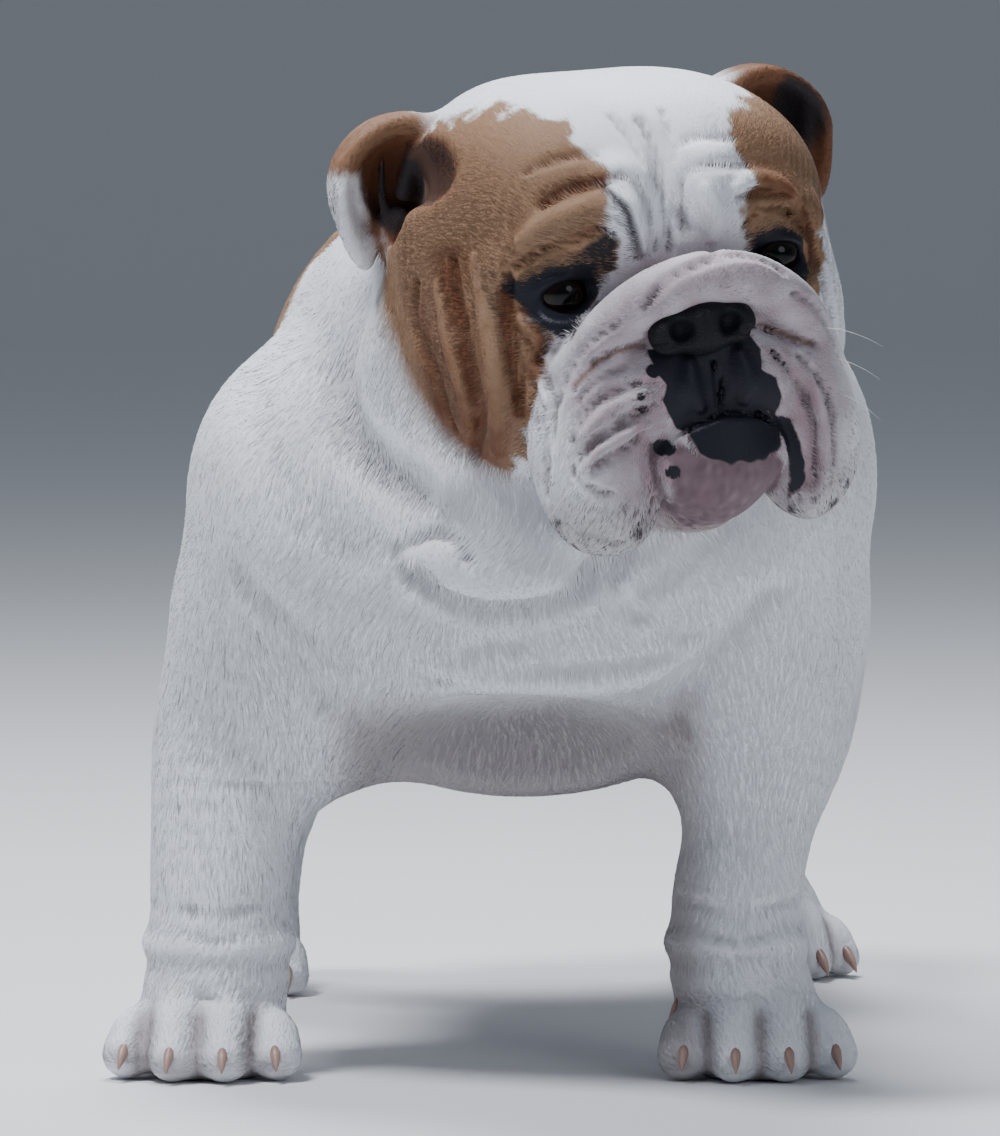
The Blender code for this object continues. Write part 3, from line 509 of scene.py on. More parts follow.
# %% Lids
LID_UPPER = ((-14.0, 0.4), (-11, 3.2), (-4, 6.2), (4, 6.6), (10, 4.8), (15.5, 1.2))
LID_LOWER = ((-14.0, 1.6), (-11, -3.9), (-5, -7.6), (2, -8.0), (9, -5.2), (15.5, 1.2))
LID_ROUND, LID_THICKNESS = 13.3, 1.3
lids = Flesh(HEAD)


def around_eye(side_sign, places, reach=LID_ROUND):
    """Head-frame points on a ball round the eye, for (outward, up) places in millimetres from its centre."""
    rows = []
    for out, up in places:
        depth = max(reach**2 - out**2 - up**2, 0) ** 0.5
        rows.append((side_sign * (EYE_SPREAD - out * MM), EYE_DEPTH - depth * MM, up * MM))
    return rows


for s in (-1, 1):
    lids.ball((s * EYE_SPREAD, -0.0120, -0.0012), (0.0135, 0.0115, 0.0076), (0, s * 4, 0), 0.003, cut=True)
    for places, thickness in ((LID_UPPER, LID_THICKNESS), (LID_LOWER, LID_THICKNESS * 0.85)):
        lids.tube([(*row, thickness * MM) for row in around_eye(s, places)], blend=0.003)
    pouch = ((-13, -9.5), (-7, -13.2), (0, -14.2), (8, -12.0), (13, -7.5))
    lids.stroke([(*row, 0.0022) for row in around_eye(s, pouch, 17.5)], -0.0022)
print("strokes and cuts of the lids:", len(lids.steps))

# %% [markdown]
# ## Folds of the body
#
# The chest has a pocket and soft folds under the throat, the neck rolls where the head turns, and the wrists
# crease where they bend.  They are strokes as well, wider and softer than those of the face, because the
# skin is thicker here.

# %% Body folds
body.ball((MID_X - 0.004, -0.070, 0.114), (0.084, 0.094, 0.053), blend=0.006, cut=True)
body.tube([(0.036, -0.112, 0.2180, 0.008), (0.056, -0.114, 0.2250, 0.014), (0.082, -0.112, 0.2360, 0.010)],
          blend=0.010, cut=True)


def on_body(places, start=-0.16):
    """Points on the front of the body for (left, up) places in metres, as named before the move."""
    found = np.array([(x, start, z) for x, z in places])
    for _ in range(50):
        found[:, 1] += np.clip(body.distance(found + np.array(MOVE)) * 0.8, -0.006, 0.015)
    return found


body_folds = Flesh(HOME)
CHEST_FOLDS = (
    # (width, height) and (left, up) places: grooves are below zero, rolls above
    (0.0050, -0.0042, ((-0.043, 0.2285), (-0.034, 0.2335), (-0.026, 0.2355), (-0.018, 0.2325),
                       (-0.013, 0.227))),
    (0.0050, -0.0030, ((-0.040, 0.2220), (-0.030, 0.2200), (-0.020, 0.2210), (-0.013, 0.2250))),
    (0.0085, 0.0040, ((-0.036, 0.2275), (-0.027, 0.2285), (-0.018, 0.2275))),
    (0.0070, -0.0070, ((0.038, 0.2250), (0.031, 0.2110), (0.0125, 0.2050), (-0.0083, 0.2050),
                       (-0.024, 0.2100), (-0.036, 0.2180))),
    (0.0170, 0.0075, ((0.024, 0.2330), (0.014, 0.2215), (-0.004, 0.2175), (-0.020, 0.2210))),
    (0.0060, -0.0055, ((0.052, 0.2330), (0.0485, 0.2200), (0.0500, 0.2080), (0.058, 0.1990))),
    (0.0090, -0.0045, ((0.096, 0.2420), (0.080, 0.2250), (0.066, 0.2130), (0.056, 0.2080))),
    (0.0110, -0.0060, ((-0.058, 0.3330), (-0.0625, 0.3200), (-0.0665, 0.3050), (-0.0654, 0.2880),
                       (-0.058, 0.2700), (-0.034, 0.2550))),
    (0.0130, 0.0050, ((-0.046, 0.3250), (-0.0510, 0.3080), (-0.0510, 0.2900), (-0.042, 0.2740),
                      (-0.022, 0.2600))),
    (0.0110, 0.0026, ((-0.022, 0.1760), (-0.008, 0.1715), (0.014, 0.1705), (0.036, 0.1700), (0.058, 0.1730),
                      (0.074, 0.1830))),
    (0.0060, -0.0018, ((-0.024, 0.1720), (-0.020, 0.1800), (-0.008, 0.1860), (0.006, 0.1870))),
    (0.0070, -0.0018, ((0.078, 0.1890), (0.072, 0.1830), (0.058, 0.1790), (0.040, 0.1770), (0.018, 0.1760))),
    (0.0100, -0.0040, ((-0.110, 0.2150), (-0.092, 0.1950), (-0.082, 0.1750), (-0.076, 0.1600))),
    (0.0100, -0.0040, ((0.112, 0.2050), (0.100, 0.1900), (0.088, 0.1760), (0.080, 0.1600))),
    (0.0160, -0.0035, ((-0.105, 0.3000), (-0.098, 0.2750), (-0.084, 0.2500), (-0.062, 0.2300))),
)
for width, height, places in CHEST_FOLDS:
    body_folds.stroke([(*row, width) for row in on_body(places)], height)
BODY_FOLDS = (
    # height, rows of (x, y, z, width)
    # where the forelegs meet the chest
    (-0.0030, ((-0.088, -0.040, 0.210, 0.010), (-0.080, -0.035, 0.180, 0.012),
               (-0.078, -0.022, 0.150, 0.010))),
    (-0.0030, ((0.085, -0.045, 0.215, 0.010), (0.078, -0.040, 0.180, 0.012), (0.076, -0.024, 0.150, 0.010))),
    # the tuck of the flanks
    (-0.0040, ((-0.098, 0.215, 0.280, 0.018), (-0.096, 0.205, 0.235, 0.020),
               (-0.082, 0.195, 0.195, 0.018))),
    (-0.0040, ((0.118, 0.230, 0.280, 0.018), (0.116, 0.222, 0.235, 0.020), (0.100, 0.215, 0.195, 0.018))),
    # the hollows beside the root of the tail
    (-0.0035, ((-0.006, 0.365, 0.318, 0.010), (-0.010, 0.372, 0.285, 0.012),
               (-0.004, 0.372, 0.240, 0.012))),
    (-0.0035, ((0.040, 0.365, 0.318, 0.010), (0.044, 0.372, 0.285, 0.012), (0.038, 0.372, 0.240, 0.012))),
)
for height, rows in BODY_FOLDS:
    body_folds.stroke(rows, height)
for wx, wy, wz in WRIST.values():
    body_folds.stroke([(wx - 0.026, wy - 0.004, wz - 0.014, 0.0070), (wx, wy - 0.030, wz - 0.012, 0.0075),
                       (wx + 0.026, wy - 0.004, wz - 0.014, 0.0070)], 0.0022)
    for rise, depth in ((0.016, -0.0018), (0.004, -0.0020), (-0.021, -0.0022)):
        body_folds.stroke([(wx - 0.026, wy - 0.006, wz + rise + 0.003, 0.0035),
                           (wx, wy - 0.031, wz + rise, 0.0035),
                           (wx + 0.026, wy - 0.006, wz + rise + 0.003, 0.0035)], depth)
print("folds on the body:", len(body_folds.steps))

# %% [markdown]
# ## One skin over everything
#
# The fields of the body, the head, the jaw and the ears are joined with a blend that is wide at the nape,
# where the neck flows into the skull, and narrow under the cheeks, where the head only rests against the
# chest.  Then the surface is moved in by the depth of the coat.

# %% The joined field
COAT_DEPTH_BODY, COAT_DEPTH_FACE = 0.0008, 0.0005

# the deep inside of the right ear
hollows = Flesh(HEAD)
hollows.ball((-0.0860, 0.0600, 0.0540), (0.0130, 0.0290, 0.0150), (0, -10, 12), 0.006, True)
hollows.ball((-0.0860, 0.0800, 0.0400), (0.0120, 0.0180, 0.0200), blend=0.004, cut=True)


def skin_distance(points):
    local = to_head(points)
    face = smooth_min(head.distance(points), jaw.distance(points), 0.003)
    face = hollows.shape(points, creases.shape(points, face))
    face = lids.shape(points, face)
    for ear in ears.values():
        face = smooth_min(face, ear.distance(points), 0.005)
    trunk = body_folds.shape(points, body.distance(points))
    blend = 0.004 + 0.010 * smooth_step(0.070, 0.120, local[:, 1])
    whole = smooth_min(face, trunk, blend)
    face_share = smooth_step(0.150, 0.095, np.linalg.norm(local - (0, 0.035, -0.015), axis=1))
    return whole + COAT_DEPTH_BODY + (COAT_DEPTH_FACE - COAT_DEPTH_BODY) * face_share


# %% [markdown]
# ## From field to mesh
#
# The field is read on a coarse grid first, and on the fine grid only in the cells that the skin passes
# through.  OpenVDB turns it into quads.  The face needs a finer net than the back, so its quads are split
# once or twice more, and every point is then slid along its normal until it lies on the skin.  A grid that
# is fine everywhere would spend most of its points where the skin is plain.

# %% Reading the field
GRID = 0.0026


def field_grid(distance, low, high, step, ratio=4):
    """The field on a grid, exact in the cells near the surface."""
    low = np.array(low, float)
    cells = np.ceil((np.array(high) - low) / (step * ratio)).astype(int) + 1
    axes = [low[i] + step * ratio * np.arange(cells[i] + 1) for i in range(3)]
    coarse_points = np.stack(np.meshgrid(*axes, indexing="ij"), -1).reshape(-1, 3)
    coarse = distance(coarse_points).reshape([n + 1 for n in cells])
    near = np.abs(coarse) < step * ratio * 1.9
    fine = coarse[:-1, :-1, :-1].repeat(ratio, 0).repeat(ratio, 1).repeat(ratio, 2).astype(np.float32)
    use = np.zeros(cells, bool)
    for corner in np.ndindex(2, 2, 2):
        use |= near[tuple(slice(c, c + n) for c, n in zip(corner, cells))]
    chosen = np.argwhere(use)
    inside = np.stack(np.meshgrid(*[np.arange(ratio)] * 3, indexing="ij"), -1).reshape(-1, 3)
    for start in range(0, len(chosen), 150):
        cell = (chosen[start:start + 150, None] * ratio + inside).reshape(-1, 3)
        fine[cell[:, 0], cell[:, 1], cell[:, 2]] = distance(low + step * cell)
    return fine, low


# %% Meshes from arrays


def new_mesh(name, points, faces_by_size):
    """A mesh from numpy points and a list of face arrays, each (count, corners)."""
    mesh = bpy.data.meshes.new(name)
    mesh.vertices.add(len(points))
    mesh.vertices.foreach_set("co", points.astype(np.float32).ravel())
    faces_by_size = [faces for faces in faces_by_size if len(faces)]
    loops = np.concatenate([faces.ravel() for faces in faces_by_size]).astype(np.int32)
    sizes = np.concatenate([np.full(len(faces), faces.shape[1]) for faces in faces_by_size])
    mesh.loops.add(len(loops))
    mesh.loops.foreach_set("vertex_index", loops)
    mesh.polygons.add(len(sizes))
    mesh.polygons.foreach_set("loop_start", (np.cumsum(sizes) - sizes).astype(np.int32))
    mesh.update(calc_edges=True)
    return mesh


def surface_of(name, distance, low, high, step):
    fine, low = field_grid(distance, low, high, step)
    grid = openvdb.FloatGrid()
    grid.background = 1.0
    grid.copyFromArray(fine)
    points, triangles, quads = grid.convertToPolygons(0.0, 0.0)
    return new_mesh(name, points * step + low, [quads, triangles])


def points_of(mesh):
    points = np.empty(len(mesh.vertices) * 3, np.float32)
    mesh.vertices.foreach_get("co", points)
    return points.reshape(-1, 3).astype(float)


def normals_of(mesh):
    normals = np.empty(len(mesh.vertices) * 3, np.float32)
    mesh.vertex_normals.foreach_get("vector", normals)
    return normals.reshape(-1, 3).astype(float)


def in_chunks(distance, points, size=9000):
    return np.concatenate([distance(points[i:i + size]) for i in range(0, len(points), size)])


# %% Settling and splitting


def settle(mesh, distance, rounds, chosen=None):
    """Slides the mesh's points, or the chosen ones, along their normals onto the surface of the field."""
    for _ in range(rounds):
        points, normals = points_of(mesh), normals_of(mesh)
        moving = np.arange(len(points)) if chosen is None else chosen
        gap = in_chunks(distance, points[moving])
        points[moving] -= normals[moving] * np.clip(gap, -0.0015, 0.0015)[:, None]
        mesh.vertices.foreach_set("co", points.astype(np.float32).ravel())
        mesh.update()


def split_near(mesh, places):
    """Splits the faces that lie within any (centre, radius) of places, given in the head's frame."""
    shape = bmesh.new()
    shape.from_mesh(mesh)
    middles = to_head(np.array([face.calc_center_median() for face in shape.faces]))
    near = np.zeros(len(middles), bool)
    for centre, radius in places:
        near |= np.linalg.norm(middles - centre, axis=1) < radius
    edges = {edge for face, use in zip(shape.faces, near) if use for edge in face.edges}
    bmesh.ops.subdivide_edges(shape, edges=list(edges), cuts=1, use_grid_fill=True)
    shape.to_mesh(mesh)
    shape.free()


# %% Mesh the skin
low_corner, high_corner = SOLID_BOX
skin_mesh = surface_of("skin", skin_distance, [v - 0.012 for v in low_corner],
                       [v + 0.012 for v in high_corner], GRID)
print("skin grid:", len(skin_mesh.polygons), "faces")
HEAD_MIDDLE, HEAD_REACH = np.array((0, 0.040, -0.015)), 0.118
FINE_PLACES = [((s * EYE_SPREAD, -0.004, 0.0), 0.020) for s in (-1, 1)] + [((0, -0.045, -0.045), 0.034)]
settle(skin_mesh, skin_distance, 1)
split_near(skin_mesh, [(HEAD_MIDDLE, HEAD_REACH)])
from_head = np.linalg.norm(to_head(points_of(skin_mesh)) - HEAD_MIDDLE, axis=1)
settle(skin_mesh, skin_distance, 2, np.flatnonzero(from_head < HEAD_REACH + 0.006))
split_near(skin_mesh, FINE_PLACES)
local_points = to_head(points_of(skin_mesh))
fine = np.zeros(len(local_points), bool)
for place, reach in FINE_PLACES:
    fine |= np.linalg.norm(local_points - place, axis=1) < reach + 0.002
settle(skin_mesh, skin_distance, 2, np.flatnonzero(fine))
SOLE_HEIGHT = 0.0004
settled = points_of(skin_mesh)
settled[:, 2] = np.maximum(settled[:, 2], SOLE_HEIGHT)
skin_mesh.vertices.foreach_set("co", settled.astype(np.float32).ravel())
skin_mesh.update()
print("skin:", len(skin_mesh.vertices), "points")

# %% [markdown]
# ## Markings
#
# A white dog with two fawn patches on the face, brown ears, a brown saddle over the right flank, and black
# pigment on the lips and round the eyes.  Skin and coat must agree, so one function, `marks_at`, answers for
# both: it gives, for any point, how fawn, how dark and how bare it is, and a fourth value for soil and for
# shade painted into folds, hollows and undersides.  Patches are outlines on the front of the face, with a
# wavering edge, as hairs of two colours mix there.  A painted image would need one unwrap for skin and coat
# together, and a function needs none.

# %% Marking helpers


def ripple(points, size, seed):
    """A smooth random value, about -1 to 1, that changes over the given size in metres."""
    rng = np.random.default_rng(seed)
    total = np.zeros(len(points))
    for _ in range(7):
        way = rng.normal(size=3)
        way *= rng.uniform(0.6, 1.6) / np.linalg.norm(way)
        total += np.sin(points @ way * (2 * pi / (1.6 * size)) + rng.uniform(0, 2 * pi))
    return total / 2.6


def within(outline, places):
    """How far each (left, up) place lies inside an outline in millimetres; below zero outside."""
    outline = np.array(outline, float) * MM
    best, inside = np.full(len(places), np.inf), np.zeros(len(places), bool)
    for a, b in zip(outline, np.roll(outline, -1, 0)):
        along = b - a
        t = np.clip((places - a) @ along / max(along @ along, 1e-12), 0, 1)
        best = np.minimum(best, np.linalg.norm(places - a - t[:, None] * along, axis=1))
        level = (a[1] > places[:, 1]) != (b[1] > places[:, 1])
        crossing = a[0] + (places[:, 1] - a[1]) / (along[1] if along[1] else 1e-12) * along[0]
        inside ^= level & (places[:, 0] < crossing)
    return np.where(inside, best, -best)


def near_line(line, places, width):
    """1 on a line of (left, up) places in millimetres, fading over its width."""
    line = np.array(line, float) * MM
    best = np.full(len(places), np.inf)
    for a, b in zip(line[:-1], line[1:]):
        along = b - a
        t = np.clip((places - a) @ along / (along @ along), 0, 1)
        best = np.minimum(best, np.linalg.norm(places - a - t[:, None] * along, axis=1))
    return np.exp(-(best / (width * MM)) ** 2)


# %% Patches
# outlines on the front of the face, in millimetres to the left and up from the point between the eyes
FAWN_RIGHT = ((-100, 70), (-72, 69), (-63, 72), (-56, 75), (-50, 76), (-43, 76), (-38, 71), (-33, 67),
              (-30, 61), (-28, 56), (-27, 52), (-26, 48), (-27, 40), (-28, 32), (-27, 24), (-24, 15),
              (-26, 9), (-29, 3), (-33, -2), (-41, -8), (-50, -12), (-56, -19), (-62, -34), (-66, -44),
              (-69, -58), (-69, -84), (-80, -90), (-115, -70), (-125, 60))
FAWN_LEFT = ((38, 60), (33, 54), (33, 46), (36, 40), (36, 32), (31, 26), (28, 18), (28, 10), (23, 8),
             (37, -2), (42, -11), (44, -24), (46, -32), (50, -26), (66, -19), (69, -8), (69, 4),
             (76, 10), (92, 16), (96, 60), (70, 66), (47, 62))
DARK_EYE_RIGHT = ((-71, 8), (-62, 10), (-55, 13), (-47, 16), (-38, 21), (-31, 29), (-25, 27), (-24, 16),
                  (-27, 5), (-34, -4), (-42, -12), (-50, -17), (-57, -16), (-62, -10), (-66, -1))
DARK_EYE_LEFT = ((27, 18), (34, 16), (42, 12), (52, 9), (60, 4), (59, -8), (53, -16), (46, -13),
                 (38, -8), (31, -2), (27, 8))
BLACK_EYE_RIGHT = ((-69, 6), (-62, 8), (-55, 11), (-48, 13), (-40, 13), (-34, 11), (-31, 4), (-34, -3),
                   (-39, -8), (-46, -13), (-53, -16), (-59, -12), (-63, -4))
BLACK_EYE_LEFT = ((33, 12), (42, 11), (50, 10), (58, 5), (58, -7), (52, -15), (46, -12), (39, -7),
                  (33, 0))
LIP_RIGHT = ((-26, -24), (-25, -32), (-22, -39), (-25, -45), (-23, -51), (-20, -58), (-15, -61),
             (-8, -57), (6, -54), (6, -26), (-10, -26))
LIP_LEFT = ((-4, -26), (-4, -54), (12, -54), (20, -58), (24, -66), (27, -80), (27, -96), (33, -90),
            (34, -74), (31, -63), (24, -60), (27, -53), (25, -44), (19, -40), (21, -32), (18, -26))
CHIN_DARK = ((-12, -52), (-17, -61), (-15, -70), (-2, -75), (12, -76), (24, -72), (27, -64), (18, -53),
             (4, -50))
CHIN_PINK = ((-25, -66), (-20, -62), (-14, -67), (2, -73), (19, -73), (25, -79), (24, -92), (16, -106),
             (-12, -106), (-22, -94), (-26, -80))
FLEW_PINK_RIGHT = ((-24, -28), (-31, -40), (-38, -52), (-40, -66), (-38, -80), (-34, -92), (-27, -88),
                   (-23, -72), (-20, -62), (-22, -50), (-22, -40), (-22, -30))
FLEW_PINK_LEFT = ((22, -30), (34, -36), (42, -48), (45, -66), (42, -84), (36, -96), (30, -88),
                  (31, -70), (26, -58), (27, -48), (20, -38))
# small black spots: left, up and radius
SPOTS = ((-26, -33, 3.2), (-25, -65, 4.0), (-24, -75, 3.2), (-33, -42, 2.0))
print("small black spots:", len(SPOTS))

# %% Lines of colour
# width and places, in millimetres: reddish painted shade along the grooves of the folds in the fawn patches
RED_CREASE_SHADE_LINES = (
    (2.6, ((-50, 39), (-44, 41), (-36, 43), (-28, 44), (-21, 45))),
    (3.0, ((-68, 4), (-71, -10), (-71, -28), (-71, -46))),
    (4.5, ((-83, 20), (-85, 2), (-86, -14), (-86, -31), (-84, -48), (-80, -66))),
    (4.0, ((-94, 4), (-95, -16), (-93, -36), (-88, -56))),
    (4.0, ((-62, -4), (-60, -16), (-64, -30))),
    (5.0, ((-80, -60), (-84, -52), (-78, -70))),
    (1.5, ((-56, -34), (-46, -26), (-38, -23), (-28, -22))),
    (1.5, ((24, -23), (34, -29), (46, -35))),
    (4.0, ((58, 18), (62, 6), (62, -8))),
    (5.0, ((44, 32), (54, 26))),
)
# width and places: painted light, as paler hair on the tops of the ridges between them
PALE_LIT_RIDGES = (
    (3.2, ((-77, 14), (-78, -6), (-79, -28), (-79, -48), (-76, -64))),
    (3.0, ((-89, 4), (-90, -16), (-89, -34), (-86, -48))),
    (4.5, ((-66, -20), (-67, -34), (-70, -50), (-72, -70))),
    (4.0, ((-56, 27), (-44, 31), (-32, 34), (-24, 32))),
)
# strength, width and places: black hairs mixed in the white and the fawn
SOFT_DARK_LINES = (
    (0.58, 4.0, ((-27, 40), (-22, 32), (-20, 22), (-18, 12))),
    (0.16, 5.0, ((-6, 50), (-3, 36), (-2, 22), (-6, 12))),
    (0.26, 3.0, ((24, 24), (30, 20), (29, 12))),
    (0.14, 2.0, ((6, 44), (16, 46), (30, 44))),
    (0.16, 2.0, ((14, 16), (24, 14), (32, 16))),
    (0.18, 4.0, ((-6, 2), (0, 0), (8, -1), (16, 0), (22, 1))),
    (0.45, 1.8, ((-72, 6), (-72, -4), (-72, -16), (-72, -34))),
    (0.30, 2.0, ((-50, 39), (-40, 42), (-30, 41), (-20, 44), (-12, 40))),
    (0.42, 5.0, ((-60, -96), (-48, -102), (-36, -98), (-28, -90))),
    (0.34, 2.5, ((-22, -14), (-17, -7), (-9, -3), (-1, -2), (8, -3), (14, -7), (18, -15))),
    (0.34, 9.0, ((-62, -80), (-50, -92), (-38, -90), (-30, -78))),
    (0.30, 7.0, ((40, -84), (48, -94), (56, -84), (58, -66))),
    (0.40, 3.0, ((-27, -37), (-34, -36), (-40, -32))),
    (0.34, 4.5, ((46, -50), (48, -58), (45, -66))),
    (0.24, 2.0, ((-34, -44), (-46, -49), (-56, -56))),
    (0.24, 2.0, ((-40, -58), (-50, -62), (-60, -70))),
    (0.30, 3.5, ((-28, -40), (-42, -46), (-58, -56))),
    (0.30, 2.0, ((-34, -36), (-42, -31), (-52, -33))),
    (0.30, 3.0, ((-66, 13), (-56, 21), (-44, 24), (-32, 27))),
    (0.40, 2.0, ((-63, -30), (-67, -42), (-70, -56), (-71, -74))),
    (0.30, 3.0, ((44, -42), (46, -56), (45, -72))),
)
# the creases under the nose roll, on the right and on the left
ROLL_LINES = (((-56, -34), (-46, -26), (-38, -23), (-28, -22)), ((24, -23), (34, -29), (46, -35)))
ROLL_CURVE = smooth_curve(nose_roll)
SADDLES = (
    # centre, radii: brown hair on the right flank and over its shoulder
    ((-0.118, 0.150, 0.330), (0.075, 0.120, 0.085)),
    ((-0.060, 0.060, 0.400), (0.052, 0.055, 0.060)),
)
print("lines of colour:", len(RED_CREASE_SHADE_LINES) + len(PALE_LIT_RIDGES) + len(SOFT_DARK_LINES) + len(ROLL_LINES))

# %% [markdown]
# ## What marks a point
#
# Each mark has a short function of its own.  They share what they need to know about the points: where these
# lie in the head's frame, a wave that makes borders waver, and how much they belong to the mouth or muzzle.

# %% Where the points are


class Place:
    """What the marks need to know about each point."""

    def __init__(self, points, on_head):
        self.points, self.on_head = points, on_head
        self.local = to_head(points)
        self.left, self.back, self.up = self.local.T
        self.flat = self.local[:, [0, 2]]
        self.wave = 0.0015 * ripple(points, 0.012, 3) + 0.0008 * ripple(points, 0.004, 4)
        self.near_front = smooth_step(0.040, 0.025, self.back) * on_head
        self.mouth = smooth_step(0.010, 0.0, self.back) * on_head
        from_muzzle = np.linalg.norm((self.local - (0, -0.040, -0.045)) * (1, 0.9, 1), axis=1)
        self.muzzle = smooth_step(0.072, 0.052, from_muzzle)
        self.mottled = 0.5 + 0.7 * ripple(points, 0.006, 31) * ripple(points, 0.005, 32)


# %% Fawn and brown


def fawn_patches(at):
    """The two patches of the face.  They end at the cheek and keep off the roll over the nose."""
    reach = 0.046 + 0.054 * smooth_step(0.078, 0.052, at.up - 0.25 * np.maximum(-at.left - 0.045, 0))
    front = smooth_step(0.004, -0.004, at.back - reach + 1.5 * at.wave) * at.on_head
    behind = smooth_step(-0.013, -0.008, at.back - 0.010 * smooth_step(-0.040, -0.055, at.up))
    behind = np.maximum(behind, smooth_step(-0.014, -0.008, at.up))
    right = smooth_step(-0.0012, 0.0016, within(FAWN_RIGHT, at.flat) + at.wave) * front * behind
    left = smooth_step(-0.0012, 0.0016, within(FAWN_LEFT, at.flat) + at.wave)
    left = left * smooth_step(0.098, 0.088, at.back) * at.on_head
    from_roll, roll_radius = nearest_on_curve(at.local, ROLL_CURVE)
    return np.maximum(right, left) * smooth_step(0.0010, 0.0030, from_roll - roll_radius + 0.3 * at.wave)


def mark_ears(at, fawn):
    """Fawn ears, dark and brown inside.  The flap of the right one is white with a dark rim."""
    dark, brown = np.zeros(len(fawn)), np.zeros(len(fawn))
    for side, ear in ears.items():
        outward = SIDES[side] * at.left
        on_ear = smooth_step(0.006, 0.002, ear.distance(at.points)) * smooth_step(0.060, 0.075, outward)
        inner = np.linalg.norm(at.local - (SIDES[side] * 0.086, 0.080, 0.042), axis=1)
        deep = smooth_step(0.026, 0.013, inner) * on_ear
        if side == "left":
            far = smooth_step(0.084, 0.092, outward)
            fawn = np.maximum(fawn, on_ear)
            dark = np.maximum(dark, on_ear * (0.34 * far + 0.46 * deep))
            brown = np.maximum(brown, on_ear * (0.80 + 0.15 * far))
            continue
        flap = smooth_step(0.0945, 0.100, outward + at.wave) * smooth_step(0.056, 0.050, at.up + at.wave)
        rim = smooth_step(0.0045, 0.0015, np.abs(outward - 0.1125)) * on_ear
        hollow = np.linalg.norm((at.local - (-0.083, 0.060, 0.054)) / (0.018, 0.036, 0.020), axis=1)
        hollow = smooth_step(1.05, 0.70, hollow + 12 * at.wave) * at.on_head
        fawn = np.maximum(fawn * (1 - on_ear), on_ear * (1 - 0.92 * flap))
        fawn = np.maximum(fawn, hollow)
        flap_dark = 0.14 * flap + 0.28 * rim * flap
        dark = np.maximum.reduce([dark, 0.62 * deep * (1 - flap), flap_dark, 0.52 * hollow])
        brown = np.maximum.reduce([brown, on_ear * (1 - flap) * (0.45 + 0.5 * deep), 0.9 * hollow])
    return fawn, dark, brown


def saddle_patches(at):
    """Brown hair on the body."""
    brown = np.zeros(len(at.points))
    for centre, radii in SADDLES:
        away = np.linalg.norm((at.points - centre - np.array(MOVE)) / radii, axis=1)
        brown = np.maximum(brown, smooth_step(1.04, 0.96, away + 8 * at.wave) * (1 - at.on_head))
    return brown


# %% Black pigment, bare skin and pale ridges


def dark_marks(at):
    """Black round the eyes, on the lips and the chin, and black hairs mixed into the rest of the face."""
    eyes = np.maximum(within(DARK_EYE_RIGHT, at.flat), within(DARK_EYE_LEFT, at.flat))
    eyes = 0.62 * smooth_step(-0.005, 0.0045, eyes + 1.2 * at.wave)
    black = np.maximum(within(BLACK_EYE_RIGHT, at.flat), within(BLACK_EYE_LEFT, at.flat))
    eyes = np.maximum(eyes, smooth_step(-0.0026, 0.0016, black + 0.4 * at.wave))
    eyes = eyes * at.near_front * smooth_step(-0.030, -0.022, at.back)
    lips = np.maximum(within(LIP_RIGHT, at.flat), within(LIP_LEFT, at.flat))
    lips = smooth_step(-0.0010, 0.0008, lips + 0.3 * at.wave) * at.mouth
    chin = smooth_step(-0.0015, 0.0015, within(CHIN_DARK, at.flat) + 0.6 * at.wave) * at.mouth
    dark = np.maximum.reduce([eyes, lips, chin * 0.92])
    for left, up, size in SPOTS:
        away = np.linalg.norm(at.flat - (left * MM, up * MM), axis=1)
        spot = smooth_step(1.1, 0.85, away / (size * MM) + 30 * at.wave) * at.mouth * 0.92
        dark = np.maximum(dark, spot)
    for strength, width, line in SOFT_DARK_LINES:
        dark = np.maximum(dark, strength * near_line(line, at.flat, width) * at.near_front)
    return dark


def bare_marks(at, fawn):
    """Where skin shows: on the lips' sides, on the chin, and thinly over the whole white muzzle, which greys
    it as pink skin under thin hair and as painted shade.
    """
    bare = np.maximum(within(FLEW_PINK_RIGHT, at.flat), within(FLEW_PINK_LEFT, at.flat))
    bare = smooth_step(-0.006, 0.004, bare + 1.2 * at.wave) * at.mouth
    bare = np.maximum(bare, smooth_step(-0.002, 0.002, within(CHIN_PINK, at.flat)) * at.mouth)
    # the white muzzle greys toward pink hair: thin hair over pink skin, and painted shade
    thin = (0.52 + 0.10 * ripple(at.points, 0.010, 14)) * at.muzzle * at.on_head * (1 - fawn)
    return np.maximum(0.85 * bare, thin)


def pale_lit_ridges(at):
    pale = np.zeros(len(at.points))
    for width, line in PALE_LIT_RIDGES:
        pale = np.maximum(pale, 0.10 * near_line(line, at.flat + 2.0 * at.wave[:, None], width))
    return pale * smooth_step(0.062, 0.050, at.back)


# %% Painted shade, soil and mottled places


# Reddish painted shade along the grooves of the folds.
def red_crease_shade(at):
    red = np.zeros(len(at.points))
    for width, line in RED_CREASE_SHADE_LINES:
        red = np.maximum(red, near_line(line, at.flat, width))
    return red * smooth_step(0.062, 0.050, at.back) * at.on_head * (0.85 + 0.15 * ripple(at.points, 0.008, 6))


def chin_and_lips(at, fawn):
    """How dark the mottled skin of the chin and the lower lips is, and how much the chin's darker skin and
    painted shade on the muzzle darken them, most of it low on the lips.
    """
    low_lip = smooth_step(-0.062, -0.092, at.up) * at.muzzle * at.on_head * (1 - fawn)
    chin = smooth_step(-0.002, 0.003, within(CHIN_PINK, at.flat)) * at.mouth
    shade_and_soil = np.maximum.reduce([0.70 * low_lip * (0.7 + 0.3 * at.mottled), 0.30 * at.muzzle * at.on_head,
                                chin * (0.85 + 0.15 * at.mottled)])
    return chin * np.clip(0.36 + 0.20 * at.mottled, 0, 0.6), shade_and_soil


